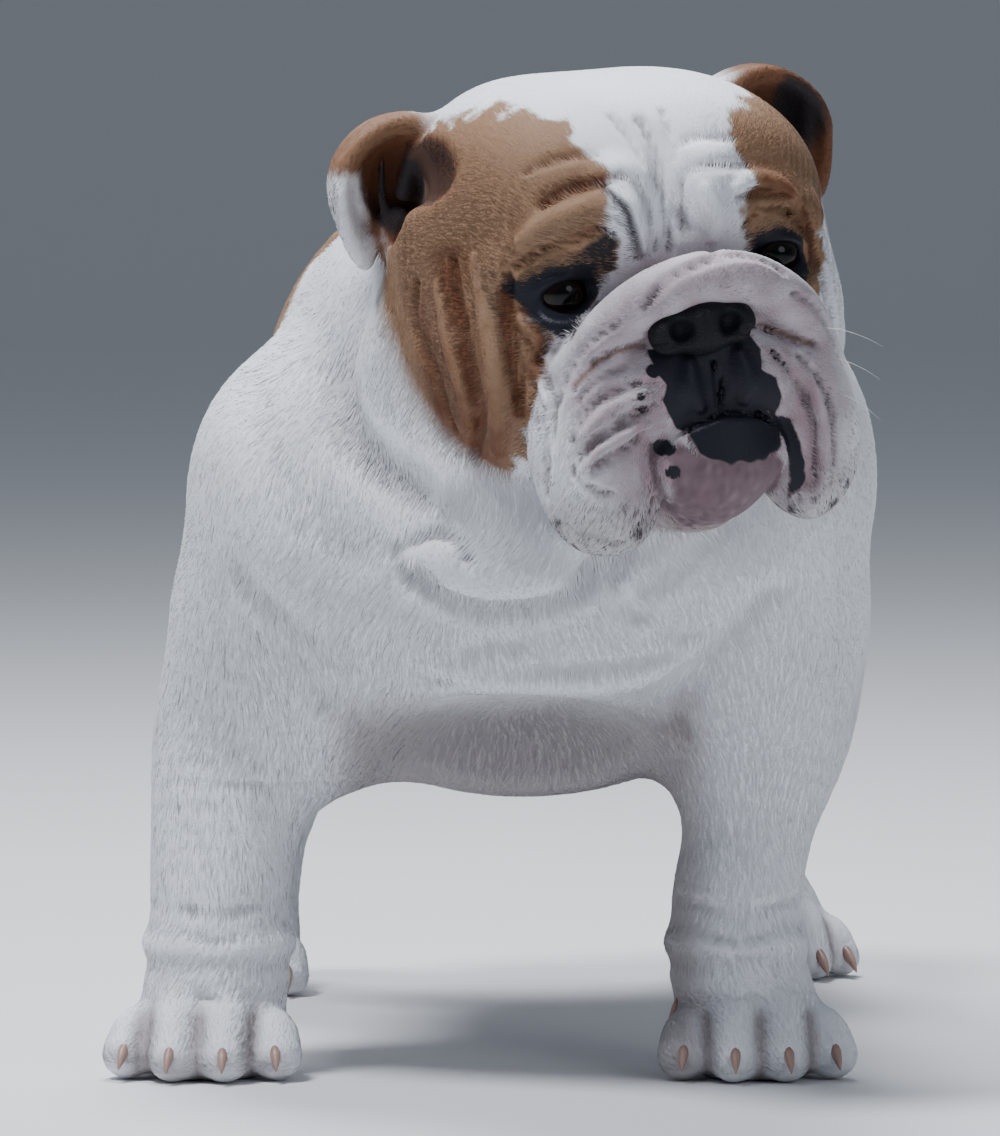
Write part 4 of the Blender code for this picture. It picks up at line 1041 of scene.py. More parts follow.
def lip_borders(at, fawn):
    """How dark the hanging borders of the lips are from black hairs, and how much painted shade darkens their
    lower part.
    """
    low = smooth_step(-0.072, -0.094, at.up) * smooth_step(0.012, 0.0, at.back)
    low = low * at.on_head * (1 - fawn) * smooth_step(0.018, 0.026, np.abs(at.left))
    return low * np.clip(0.18 + 0.30 * at.mottled, 0, 0.6), 0.75 * low


# Painted shade in the hollow under the jaw, between the chin and the chest.
def painted_throat_shade(at):
    throat = smooth_step(-0.082, -0.094, at.up) * smooth_step(-0.030, -0.014, at.back)
    return throat * smooth_step(0.036, 0.022, np.abs(at.left - 0.004)) * at.on_head


def painted_shade_under_chest(at):
    """Painted shade low on the chest, between the forelegs, under the overhang of the chest."""
    under = smooth_step(0.172, 0.150, at.points[:, 2]) * (1 - at.on_head)
    return under * smooth_step(0.088, 0.066, np.abs(at.points[:, 0] - MOVE.x - 0.009))


def dirty_feet(points):
    """Dirt near the floor, and most of it in the grooves between the toes."""
    dirt = 0.5 * smooth_step(0.020, 0.004, points[:, 2]) * (0.6 + 0.4 * ripple(points, 0.02, 9))
    for centre, heading, width in PAWS.values():
        upright = np.array(Matrix.Rotation(radians(heading), 3, "Z"))
        turned = (points - np.array(paw_frame(centre, heading).translation)) @ upright
        for across in (-0.26, 0.0, 0.26):
            groove = np.exp(-((turned[:, 0] - across * width * 1.04) / 0.0035) ** 2)
            groove *= smooth_step(-0.006, -0.018, turned[:, 1]) * smooth_step(0.034, 0.026, turned[:, 2])
            dirt = np.maximum(dirt, 0.95 * groove)
    return dirt


# %% All marks together


def marks_at(points, head_share):
    """Four values per point: fawn, dark, bare, and soil together with painted shade."""
    at = Place(points, head_share)
    fawn, ear_dark, ear_brown = mark_ears(at, fawn_patches(at))
    fawn = np.maximum(fawn, saddle_patches(at))
    bare = bare_marks(at, fawn)
    chin_dark, chin_shade_and_soil = chin_and_lips(at, fawn)
    for line in ROLL_LINES:
        fawn = np.maximum(fawn, 0.85 * near_line(line, at.flat, 1.3) * at.mouth)
    border_dark, border_shade = lip_borders(at, fawn)
    throat = painted_throat_shade(at)
    # painted shade in the hollow under the jaw: a brown tint here, and more in the fourth mark below
    fawn = np.maximum(fawn, 0.40 * throat)
    # ridges in the fawn get paler, cream hair: painted light on the ridge tops
    bare = np.maximum(bare, pale_lit_ridges(at) * fawn)
    dark = np.maximum.reduce([dark_marks(at), ear_dark, chin_dark, border_dark])
    # the fourth mark: dirt on the feet, the brown of the ears, and painted shade in creases, on the lower
    # lips, under the jaw and low on the chest
    shade_and_soil = np.maximum.reduce([red_crease_shade(at), ear_brown, chin_shade_and_soil, border_shade, 0.6 * throat,
                                0.85 * painted_shade_under_chest(at), dirty_feet(points)])
    return np.clip(np.column_stack([fawn, dark, bare, shade_and_soil]), 0, 1)


# %% [markdown]
# ## Marks of the skin
#
# The marks are worked out for every point of the skin and kept on the mesh.  Folds are painted darker than
# the skin around them, as shade and as the soil that gathers there, and for that the depth of a fold is
# measured: how far a point lies below its smoothed surroundings.

# %% Head or body, and how deep a fold is
FOLD_SCALE = 0.0011


def share_of_head(points):
    """1 on the head and ears, 0 on the body, with a soft border between."""
    gap = np.minimum(head.distance(points), jaw.distance(points))
    for ear in ears.values():
        gap = np.minimum(gap, ear.distance(points))
    return smooth_step(-0.004, 0.004, body.distance(points) - gap)


def hollowness(mesh, rounds):
    """How far each point lies below its smoothed surroundings, in metres."""
    ends = np.empty(len(mesh.edges) * 2, np.int32)
    mesh.edges.foreach_get("vertices", ends)
    first, second = ends.reshape(-1, 2).T
    degree = np.bincount(ends, minlength=len(mesh.vertices))
    points = points_of(mesh)
    relaxed = points.copy()
    for _ in range(rounds):
        total = np.column_stack([np.bincount(first, relaxed[second, i], len(points))
                                 + np.bincount(second, relaxed[first, i], len(points)) for i in range(3)])
        relaxed = 0.5 * relaxed + 0.5 * total / degree[:, None]
    return ((relaxed - points) * normals_of(mesh)).sum(1)


def shade_and_soil_folds(marks, hollow, head_share):
    """Adds painted shade and soil in the folds, more the deeper a fold lies, and most of it on the head."""
    depth = np.clip(hollow - 0.06, 0, 1.2) * np.clip(head_share, 0.25, 1)
    marks[:, 3] = np.clip(marks[:, 3] + 0.95 * depth, 0, 1)


# %% Values kept on a mesh


def store(mesh, name, kind, values):
    """Keeps a value per point on the mesh, for its material."""
    field = {"FLOAT": "value", "FLOAT_VECTOR": "vector", "FLOAT_COLOR": "color"}[kind]
    made = mesh.attributes.new(name, kind, "POINT")
    made.data.foreach_set(field, np.ascontiguousarray(values, np.float32).ravel())


# %% Keep the marks on the skin
skin_points, skin_normals = points_of(skin_mesh), normals_of(skin_mesh)
skin_head_share = in_chunks(share_of_head, skin_points)
skin_hollow = hollowness(skin_mesh, 24) / FOLD_SCALE
print("deepest fold against its surroundings:", round(skin_hollow.max() * FOLD_SCALE / MM, 2), "mm")
skin_marks = marks_at(skin_points, skin_head_share)
shade_and_soil_folds(skin_marks, skin_hollow, skin_head_share)
print("share of skin that is fawn, dark, bare, soiled:", skin_marks.mean(0).round(3))
store(skin_mesh, "marks", "FLOAT_COLOR", skin_marks)
store(skin_mesh, "strand", "FLOAT", np.full(len(skin_points), 0.5))
skin_mesh.shade_smooth()

# %% [markdown]
# ## Materials
#
# The colour of skin and coat comes from one node group, which turns the stored marks into hair colour.
# Another group makes a fine grain, for skin, nose leather and horn.  Shaders stay outside of the groups, so
# that a group can be reused for any finish.

# %% Node helpers


def new_group(name, inputs, outputs):
    group = bpy.data.node_groups.new(name, "ShaderNodeTree")
    for label, kind in inputs:
        group.interface.new_socket(label, in_out="INPUT", socket_type=kind)
    for label, kind in outputs:
        group.interface.new_socket(label, in_out="OUTPUT", socket_type=kind)
    return group, group.nodes.new("NodeGroupInput"), group.nodes.new("NodeGroupOutput")


def node(tree, kind, **settings):
    made = tree.nodes.new(kind)
    for name, value in settings.items():
        if name in made.inputs:
            made.inputs[name].default_value = value
        else:
            setattr(made, name, value)
    return made


def mix(tree, factor, first, second):
    """Mixes two colours.  Each may be a socket or a constant."""
    made = tree.nodes.new("ShaderNodeMix")
    made.data_type = "RGBA"
    for socket, value in ((made.inputs[0], factor), (made.inputs[6], first), (made.inputs[7], second)):
        if isinstance(value, (int, float)):
            socket.default_value = value
        elif isinstance(value, tuple):
            socket.default_value = (*value, 1)
        else:
            tree.links.new(value, socket)
    return made.outputs[2]


def sums(tree, operation, first, second=0.0, third=0.0):
    """One step of arithmetic on sockets or constants."""
    made = tree.nodes.new("ShaderNodeMath")
    made.operation = operation
    for socket, value in zip(made.inputs, (first, second, third)):
        if isinstance(value, (int, float)):
            socket.default_value = value
        else:
            tree.links.new(value, socket)
    return made.outputs[0]


def stored(tree, name):
    made = tree.nodes.new("ShaderNodeAttribute")
    made.attribute_name = name
    return made


def new_material(name, roughness, **settings):
    material = bpy.data.materials.new(name)
    material.use_nodes = True
    shader = material.node_tree.nodes["Principled BSDF"]
    shader.inputs["Roughness"].default_value = roughness
    for label, value in settings.items():
        shader.inputs[label.replace("_", " ")].default_value = value
    return material, material.node_tree, shader


# %% The colour of hair
WHITE_HAIR, WHITE_SHADE = (0.80, 0.815, 0.85), (0.75, 0.76, 0.80)
FAWN_HAIR, FAWN_SHADE = (0.34, 0.205, 0.125), (0.20, 0.108, 0.060)
CREAM_HAIR = (0.43, 0.33, 0.25)
RED_SHADE_AND_SOIL, SHADE_AND_DIRT = (0.115, 0.034, 0.013), (0.22, 0.165, 0.165)
PINK_SKIN, PINK_HAIR = (0.42, 0.26, 0.29), (0.47, 0.42, 0.48)
BLACK_HAIR = (0.026, 0.022, 0.024)

coat_colour, coat_in, coat_out = new_group(
    "coat_colour",
    (("Marks", "NodeSocketColor"), ("ShadeAndSoil", "NodeSocketFloat"), ("Strand", "NodeSocketFloat")),
    (("Color", "NodeSocketColor"),))
parts = coat_colour.nodes.new("ShaderNodeSeparateColor")
coat_colour.links.new(coat_in.outputs["Marks"], parts.inputs[0])
fawn_mark, dark_mark, bare_mark = parts.outputs[0], parts.outputs[1], parts.outputs[2]
strand, shade_and_soil_mark = coat_in.outputs["Strand"], coat_in.outputs["ShadeAndSoil"]
white = mix(coat_colour, strand, WHITE_SHADE, WHITE_HAIR)
# bare places tint white hair pink; over the muzzle this also greys it as painted shade
white = mix(coat_colour, sums(coat_colour, "MULTIPLY", bare_mark, 0.90), white, PINK_HAIR)
# the fourth mark darkens white hair: dirt, and shade painted into folds, under the jaw and low on the chest
white = mix(coat_colour, sums(coat_colour, "MULTIPLY", shade_and_soil_mark, 0.75), white, SHADE_AND_DIRT)
brown = mix(coat_colour, strand, FAWN_SHADE, FAWN_HAIR)
# cream hair where the fawn is marked bare: painted light on the ridges, and bare skin
brown = mix(coat_colour, bare_mark, brown, CREAM_HAIR)
# and it turns fawn hair dark red, for the same dirt and painted shade
brown = mix(coat_colour, sums(coat_colour, "MULTIPLY", shade_and_soil_mark, 0.85), brown, RED_SHADE_AND_SOIL)
coated = mix(coat_colour, fawn_mark, white, brown)
# a dark mark of one half means that half of the hairs are black, not that each hair is grey
chance = sums(coat_colour, "SUBTRACT", dark_mark, sums(coat_colour, "MULTIPLY", strand, 0.7))
chance = sums(coat_colour, "MULTIPLY", chance, 4.0)
clamp = coat_colour.nodes.new("ShaderNodeClamp")
coat_colour.links.new(chance, clamp.inputs[0])
coated = mix(coat_colour, clamp.outputs[0], coated, BLACK_HAIR)
coat_colour.links.new(coated, coat_out.inputs["Color"])


def hair_colour(tree):
    """The colour of hair from the marks that the mesh holds."""
    marks, strand_value = stored(tree, "marks"), stored(tree, "strand")
    group = tree.nodes.new("ShaderNodeGroup")
    group.node_tree = coat_colour
    tree.links.new(marks.outputs["Color"], group.inputs["Marks"])
    tree.links.new(marks.outputs["Alpha"], group.inputs["ShadeAndSoil"])
    tree.links.new(strand_value.outputs["Fac"], group.inputs["Strand"])
    return group.outputs["Color"], marks


# %% Fine grain, as bumps
grain, grain_in, grain_out = new_group(
    "fine_grain", (("Size", "NodeSocketFloat"), ("Depth", "NodeSocketFloat")),
    (("Normal", "NodeSocketVector"),))
place = grain.nodes.new("ShaderNodeTexCoord")
noise = node(grain, "ShaderNodeTexNoise", Detail=4.0, Roughness=0.6)
cells = grain.nodes.new("ShaderNodeTexVoronoi")
grain.links.new(place.outputs["Object"], noise.inputs["Vector"])
grain.links.new(place.outputs["Object"], cells.inputs["Vector"])
scale = sums(grain, "DIVIDE", 1.0, grain_in.outputs["Size"])
grain.links.new(scale, noise.inputs["Scale"])
grain.links.new(scale, cells.inputs["Scale"])
height = sums(grain, "ADD", noise.outputs["Fac"], sums(grain, "MULTIPLY", cells.outputs["Distance"], 0.8))
bump = node(grain, "ShaderNodeBump", Strength=0.7)
grain.links.new(height, bump.inputs["Height"])
grain.links.new(grain_in.outputs["Depth"], bump.inputs["Distance"])
grain.links.new(bump.outputs["Normal"], grain_out.inputs["Normal"])


def grained(tree, shader, size, depth):
    """Gives a shader fine bumps of the given size and depth in metres."""
    group = tree.nodes.new("ShaderNodeGroup")
    group.node_tree = grain
    group.inputs["Size"].default_value = size
    group.inputs["Depth"].default_value = depth
    tree.links.new(group.outputs["Normal"], shader.inputs["Normal"])


# %% [markdown]
# ## Finishes
#
# Short hair is matt.  Black skin, as on the lips, is smoother and moist, nose leather is pebbled, horn shines
# a little, and the eye is dark under a clear wet layer, for which the shader has a coat of its own.  Skin
# could scatter light inside as well, but under a short coat that would hardly show.

# %% Skin and coat
WET_BLACK, SHADED_DIRTY_SKIN = (0.008, 0.009, 0.015), (0.085, 0.053, 0.064)
skin_material, tree, shader = new_material("skin_with_short_hair", 0.62, Specular_IOR_Level=0.20)
hair, marks = hair_colour(tree)
bare = mix(tree, 0.20, PINK_SKIN, PINK_HAIR)
split_marks = tree.nodes.new("ShaderNodeSeparateColor")
tree.links.new(marks.outputs["Color"], split_marks.inputs[0])
# bare skin darkens with the fourth mark: dirt, and painted shade in folds and hollows
bare = mix(tree, sums(tree, "MULTIPLY", marks.outputs["Alpha"], 0.90), bare, SHADED_DIRTY_SKIN)
not_fawn = sums(tree, "SUBTRACT", 1.0, split_marks.outputs[0])
bare_share = sums(tree, "MULTIPLY", sums(tree, "MULTIPLY", split_marks.outputs[2], 1.15), not_fawn)
bare_share.node.use_clamp = True
under = mix(tree, bare_share, hair, bare)
# where black is dense the skin under it is black and moist, as on the lips
lip_black = sums(tree, "MULTIPLY_ADD", split_marks.outputs[1], 4.0, -2.6)
lip_black.node.use_clamp = True
under = mix(tree, lip_black, under, WET_BLACK)
tree.links.new(under, shader.inputs["Base Color"])
moist = sums(tree, "SUBTRACT", 0.66, sums(tree, "MULTIPLY", lip_black, 0.22))
tree.links.new(moist, shader.inputs["Roughness"])
grained(tree, shader, 0.0009, 0.00022)

coat_material, tree, shader = new_material("coat", 0.55, Specular_IOR_Level=0.30)
tree.links.new(hair_colour(tree)[0], shader.inputs["Base Color"])

# %% Nose leather and claw horn
nose_material, tree, shader = new_material("nose_leather", 0.52, Specular_IOR_Level=0.18)
nose_noise = node(tree, "ShaderNodeTexNoise", Scale=220.0, Detail=3.0)
tree.links.new(mix(tree, nose_noise.outputs["Fac"], (0.003, 0.003, 0.005), (0.009, 0.008, 0.012)),
               shader.inputs["Base Color"])
grained(tree, shader, 0.0011, 0.0005)

claw_material, tree, shader = new_material("claw_horn", 0.38, Specular_IOR_Level=0.5)
along_claw = stored(tree, "along")
ramp = tree.nodes.new("ShaderNodeValToRGB")
ramp.color_ramp.elements[0].color = (0.13, 0.045, 0.034, 1)
ramp.color_ramp.elements[1].color = (0.36, 0.23, 0.19, 1)
ramp.color_ramp.elements[0].position, ramp.color_ramp.elements[1].position = 0.15, 0.55
tree.links.new(along_claw.outputs["Fac"], ramp.inputs[0])
tree.links.new(ramp.outputs[0], shader.inputs["Base Color"])
grained(tree, shader, 0.0009, 0.0001)

# %% Eyes and wet lids
# from the middle of the pupil outward: pupil, brown iris, dark border, and the white of the eye
EYE_RINGS = ((0.00, (0.001, 0.001, 0.001)), (0.27, (0.001, 0.001, 0.001)), (0.31, (0.003, 0.0014, 0.0010)),
             (0.52, (0.011, 0.0045, 0.0022)), (0.68, (0.004, 0.0018, 0.001)), (0.80, (0.002, 0.0015, 0.0015)),
             (0.88, (0.07, 0.05, 0.055)), (1.00, (0.10, 0.045, 0.05)))
eye_material, tree, shader = new_material("eyeball", 0.10, Specular_IOR_Level=0.03, Coat_Weight=0.6,
                                          Coat_Roughness=0.02, Coat_IOR=1.36)
ramp = tree.nodes.new("ShaderNodeValToRGB")
while len(ramp.color_ramp.elements) < len(EYE_RINGS):
    ramp.color_ramp.elements.new(0.5)
for element, (position, colour) in zip(ramp.color_ramp.elements, EYE_RINGS):
    element.position = position
    element.color = (*colour, 1)
tree.links.new(stored(tree, "ring").outputs["Fac"], ramp.inputs[0])
tree.links.new(ramp.outputs[0], shader.inputs["Base Color"])
rim_material, tree, shader = new_material("wet_lid", 0.22, Specular_IOR_Level=0.5,
                                          Base_Color=(0.27, 0.21, 0.24, 1))
print("materials:", [material.name for material in bpy.data.materials if not material.name.startswith("Mat")])

# %% [markdown]
# ## The skin as a piece
#
# Every mesh of the dog is put in the scene by one function.  It sets the piece on the dog's root body, gives
# it its material, and hides the solids of the imported model that it takes the place of.

# %% Placing a piece


def show(name, mesh, material, replaced=()):
    """Puts a mesh in the scene as a piece of the dog."""
    piece = bpy.data.objects.new(name, mesh)
    bpy.context.scene.collection.objects.link(piece)
    mesh.materials.append(material)
    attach(piece, "root")
    if replaced:
        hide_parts(*replaced)


# %% Place the skin
FLESH_NODES = [name for name in frame["nodes"] if name not in ("eye_left", "eye_right", "nose")]
show("skin", skin_mesh, skin_material, FLESH_NODES)
print("the skin takes the place of", len(FLESH_NODES), "solids")

# %% [markdown]
# ## Nose leather
#
# The nose is its own solid: a broad pad with a groove down the middle, and two comma-shaped nostrils whose
# slits run out to the sides.  It is moist and finely pebbled.  It is a field of its own, on a finer grid
# than the skin, and its pebbles are left to the material, as they are far smaller than a millimetre.

# %% Nose
NOSE_X, NOSE_GRID = -0.003, 0.0008
nose = Flesh(HEAD)
nose.ball((NOSE_X, -0.0360, -0.0175), (0.0195, 0.0130, 0.0120), blend=0.004)
nose.ball((NOSE_X, -0.0430, -0.0190), (0.0115, 0.0080, 0.0100), blend=0.006)
for s in (-1, 1):
    nose.ball((NOSE_X + s * 0.0150, -0.0420, -0.0190), (0.0080, 0.0075, 0.0085), blend=0.004)
    nose.ball((NOSE_X + s * 0.0105, -0.0520, -0.0180), (0.0054, 0.0090, 0.0056), (0, s * 25, 0), 0.003, True)
    nose.tube([(NOSE_X + s * 0.0115, -0.0510, -0.0205, 0.0028),
               (NOSE_X + s * 0.0165, -0.0490, -0.0235, 0.0023),
               (NOSE_X + s * 0.0220, -0.0430, -0.0240, 0.0014)], blend=0.002, cut=True)
nose.stroke([(NOSE_X, -0.050, -0.008, 0.0012), (NOSE_X, -0.053, -0.020, 0.0014),
             (NOSE_X, -0.050, -0.032, 0.0014)], -0.0012)
nose_low, nose_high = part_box("nose")
nose_mesh = surface_of("nose_leather", nose.distance, [v - 0.005 for v in nose_low],
                       [v + 0.005 for v in nose_high], NOSE_GRID)
settle(nose_mesh, nose.distance, 1)
nose_mesh.shade_smooth()
show("nose_leather", nose_mesh, nose_material, ["nose"])
print("nose:", len(nose_mesh.polygons), "faces")

# %% [markdown]
# ## Eyes
#
# An eyeball is a sphere with a second, smaller dome on it, the cornea.  The dark brown iris nearly fills the
# opening between the lids.  The rings of colour are stored as the angle from the way the eye looks, so that
# they turn with it.  The cornea is real form and not paint, because its bulge is what catches the light.

# %% Eyes
GAZE = {"right": (-0.10, -1.0, -0.04), "left": (0.02, -1.0, -0.04)}


def eyeball(side):
    shape = bmesh.new()
    bmesh.ops.create_uvsphere(shape, u_segments=64, v_segments=48, radius=EYEBALL_RADIUS)
    mesh = bpy.data.meshes.new("eyeball_" + side)
    shape.to_mesh(mesh)
    shape.free()
    points = points_of(mesh)
    angle = np.arccos(np.clip(points[:, 2] / EYEBALL_RADIUS, -1, 1))
    points *= (1 + 0.075 * smooth_step(0.80, 0.15, angle))[:, None]
    turned = HEAD.to_3x3() @ Vector(GAZE[side]).to_track_quat("Z", "Y").to_matrix()
    centre = HEAD @ Vector((SIDES[side] * EYE_SPREAD, EYE_DEPTH, 0))
    points = points @ np.array(turned).T + np.array(centre)
    mesh.vertices.foreach_set("co", points.astype(np.float32).ravel())
    store(mesh, "ring", "FLOAT", angle / 1.1)
    mesh.update()
    mesh.shade_smooth()
    return mesh


for side in SIDES:
    show("eyeball_" + side, eyeball(side), eye_material, ["eye_" + side])
print("eyeballs:", round(2 * EYEBALL_RADIUS / MM, 1), "mm across, before the cornea")

# %% [markdown]
# ## Wet rims
#
# A thin wet edge lies along each lower lid, against the ball of the eye.  It is a tube that thins to both
# ends.  Without it the lid would meet the eye in a hard dark line, as in a doll.

# %% Rims of the lower lids
RIM_REACH, RIM_THICKNESS = 12.95, 0.00070


def round_tube(rows, radii, sides=6):
    """A thin tube along rows of points, as points and quads."""
    rows = np.array(rows, float)
    along = unit(np.gradient(rows, axis=0))
    side = unit(np.cross(along, (0.1, -1.0, 0.2)))
    up = np.cross(side, along)
    turns = np.arange(sides) * 2 * pi / sides
    ring = side[:, None] * np.cos(turns)[:, None] + up[:, None] * np.sin(turns)[:, None]
    points = (rows[:, None] + ring * np.array(radii)[:, None, None]).reshape(-1, 3)
    first = np.arange(len(rows) - 1)[:, None] * sides + np.arange(sides)
    after = np.arange(len(rows) - 1)[:, None] * sides + (np.arange(sides) + 1) % sides
    return points, np.stack([first, after, after + sides, first + sides], -1).reshape(-1, 4)


def from_head_frame(points):
    """Points of the head's own frame in the world."""
    turned = np.array(HEAD)
    return points @ turned[:3, :3].T + turned[:3, 3]


for side, sign in SIDES.items():
    rim_rows = smooth_curve([[*row, 0.0] for row in around_eye(sign, LID_LOWER[1:-1], RIM_REACH)])[:, :3]
    thick = RIM_THICKNESS * np.sin(np.linspace(0.25, pi - 0.25, len(rim_rows)))
    rim_points, rim_faces = round_tube(rim_rows, thick)
    rim_mesh = new_mesh("lid_rim_" + side, from_head_frame(rim_points), [rim_faces])
    rim_mesh.shade_smooth()
    show("lid_rim_" + side, rim_mesh, rim_material)
    print("lid_rim_" + side, len(rim_mesh.polygons), "faces")

# %% [markdown]
# ## Claws
#
# A claw is a short cone that curves down from its toe.  It is pale horn, darker and redder where it leaves
# the skin.  A fifth claw, the dewclaw, sits higher on the inside of each front leg.  Rings of points are laid
# along the bend and joined, which is simpler here than to bend eighteen cones with modifiers.

# %% Claws
CLAW_LENGTH, CLAW_RADIUS = 0.0150, 0.0036
DEWCLAW_LENGTH, DEWCLAW_RADIUS = 0.011, 0.0026
CLAW_SIDES, CLAW_RINGS = 12, 10


def claw_rows(tip, way, length, radius):
    """Rings of points from the root of a claw to its end."""
    rows = []
    across = way.cross(Vector((0, 0, 1))).normalized()
    for i in range(CLAW_RINGS + 1):
        t = i / CLAW_RINGS
        bend = radians(10 + 50 * t)
        middle = tip + way * (length * t * cos(bend * 0.5) - 0.004)
        middle.z -= length * t * sin(bend * 0.62)
        thick = radius * (1 - 0.55 * t) * (1 - t**5) + 0.0003
        up = Vector((0, 0, 1)) * cos(bend * 0.6) + way * sin(bend * 0.6)
        turns = [2 * pi * j / CLAW_SIDES for j in range(CLAW_SIDES)]
        rows.append([middle + across * thick * 0.8 * cos(a) + up * thick * sin(a) for a in turns])
    return rows


def claws_mesh(name, places):
    shape = bmesh.new()
    far = []
    for tip, way, length, radius in places:
        rows = []
        for i, row in enumerate(claw_rows(tip, way, length, radius)):
            rows.append([shape.verts.new((p.x, p.y, max(p.z, 0.0006))) for p in row])
            far += [i / CLAW_RINGS] * len(row)
        for first, second in zip(rows[:-1], rows[1:]):
            for j in range(CLAW_SIDES):
                shape.faces.new((first[j], first[j - 1], second[j - 1], second[j]))
        shape.faces.new(rows[-1])
        shape.faces.new(rows[0][::-1])
    bmesh.ops.recalc_face_normals(shape, faces=shape.faces)
    mesh = bpy.data.meshes.new(name)
    shape.to_mesh(mesh)
    shape.free()
    store(mesh, "along", "FLOAT", far)
    mesh.shade_smooth()
    return mesh


for (end, side), (centre, heading, width) in PAWS.items():
    stand = paw_frame(centre, heading)
    places = []
    for across, setback in TOES:
        tip = Vector((across * width * 1.04, setback - 0.9 * width * TOE_REACH - 0.007, width * 0.185))
        way = (stand.to_3x3() @ Vector((across * 0.5, -1, 0))).normalized()
        places.append((stand @ tip, way, CLAW_LENGTH, CLAW_RADIUS))
    if end == "front":
        dew = HOME @ Vector((WRIST[side][0] - SIDES[side] * 0.026, WRIST[side][1] - 0.010, 0.030))
        way = Vector((-SIDES[side] * 0.5, -0.7, -0.3)).normalized()
        places.append((dew, way, DEWCLAW_LENGTH, DEWCLAW_RADIUS))
    show(f"claws_{end}_{side}", claws_mesh(f"claws_{end}_{side}", places), claw_material)
print("claws on", len(PAWS), "paws")

# %% [markdown]
# ## Which way the coat lies, and how long it is
#
# Hair grows away from the nose over the face, back along the trunk, and down the legs.  The coat is longest
# on the neck and trunk, and shortest on the muzzle and feet.  There is none on the lips, the rims of the
# eyes, or the soles.

# %% Lie and length
LENGTHS = {"trunk": 0.0082, "legs": 0.0058, "feet": 0.0040, "head": 0.0031, "muzzle": 0.0018}


def coat_lie(points, normals, head_share):
    """The way that hair points at each place, lying in the skin."""
    local = to_head(points)
    turned = np.array(HEAD)[:3, :3]
    from_nose = unit(local - (-0.003, -0.062, -0.014)) @ turned.T
    ear_part = smooth_step(0.076, 0.090, np.abs(local[:, 0])) * smooth_step(0.055, 0.075, local[:, 1])
    outward = np.column_stack([np.sign(local[:, 0]), np.zeros(len(local)), -0.6 * np.ones(len(local))])
    outward = outward @ turned.T
    on_head = from_nose * (1 - ear_part)[:, None] + outward * ear_part[:, None]
    middle = points - np.array(MOVE)
    height, back = middle[:, 2], middle[:, 1]
    side = np.sign(middle[:, 0] - MID_X) * smooth_step(0.0, 0.05, np.abs(middle[:, 0] - MID_X))
    front = smooth_step(0.02, -0.06, back)
    trunk = np.column_stack([0.35 * side * front, 0.15 + 0.85 * (1 - front), -0.30 - 0.7 * front])
    low = smooth_step(0.215, 0.150, height)[:, None]
    leg = np.column_stack([0.10 * side, 0.15 * np.ones(len(height)), -np.ones(len(height))])
    foot = smooth_step(0.046, 0.034, height)[:, None]
    toes = np.column_stack([0.2 * side, -np.ones(len(height)), -0.5 * np.ones(len(height))])
    on_body = trunk * (1 - low) + leg * low
    on_body = on_body * (1 - foot) + toes * foot
    flow = on_body * (1 - head_share)[:, None] + on_head * head_share[:, None]
    flow += 0.22 * np.column_stack([ripple(points, 0.035, seed) for seed in (21, 22, 23)])
    flow -= normals * (flow * normals).sum(1)[:, None]
    return unit(flow)


def coat_length(points, normals, head_share, marks):
    """How long the hair is at each place, zero where the skin is bare."""
    local = to_head(points)
    height = points[:, 2]
    on_body = LENGTHS["legs"] + (LENGTHS["trunk"] - LENGTHS["legs"]) * smooth_step(0.10, 0.20, height)
    on_body = LENGTHS["feet"] + (on_body - LENGTHS["feet"]) * smooth_step(0.030, 0.060, height)
    from_nose = np.linalg.norm(local - (0, -0.045, -0.035), axis=1)
    on_head = LENGTHS["muzzle"] + (LENGTHS["head"] - LENGTHS["muzzle"]) * smooth_step(0.035, 0.085, from_nose)
    length = on_body * (1 - head_share) + on_head * head_share
    places = local[:, [0, 2]]
    mouth_front = (local[:, 1] < 0.004) & (head_share > 0.5)
    lips = np.maximum(within(LIP_RIGHT, places), within(LIP_LEFT, places))
    length = np.where(mouth_front & (lips > 0.0002), 0, length)
    bare_chin = (within(CHIN_PINK, places) > 0.0015) & mouth_front
    length = np.where(bare_chin | (mouth_front & (marks[:, 1] > 0.8)), 0, length)
    for s, y, z in ((-1, 0.080, 0.042), (1, 0.080, 0.042), (-1, 0.060, 0.054)):
        in_ear = np.linalg.norm(local - (s * 0.086, y, z), axis=1)
        length = length * (0.5 + 0.5 * smooth_step(0.016, 0.030, in_ear))
    for s in (-1, 1):
        from_eye = (local - (s * EYE_SPREAD, EYE_DEPTH - 0.009, -0.001)) * (0.80, 0.6, 1.25)
        from_eye = np.linalg.norm(from_eye, axis=1)
        length = length * smooth_step(0.0102, 0.0126, from_eye)
    length = np.where((normals[:, 2] < -0.6) & (height < 0.012), 0, length)
    nose_gap = nose.distance(points)
    return np.where(nose_gap < 0.0012, 0, length)


# %% [markdown]
# ## The coat
#
# Each face of the skin grows a few tufts at random places in it.  A tuft is a thin three-sided spike whose
# root is sunk in the skin.  Its tip is set at a given height above the skin, so that tufts hug hollows and
# folds.  A tuft's normals are those of the skin under it, with a slight lean, so that thousands of small
# faces shade as one pelt.  Blender's own hair is easier to comb, but it isn't a mesh, and this coat has to
# be one.

# %% Root helpers
TUFTS_PER_FACE = 3
SHORTEST_HAIR = 0.0012
rng = np.random.default_rng(11)


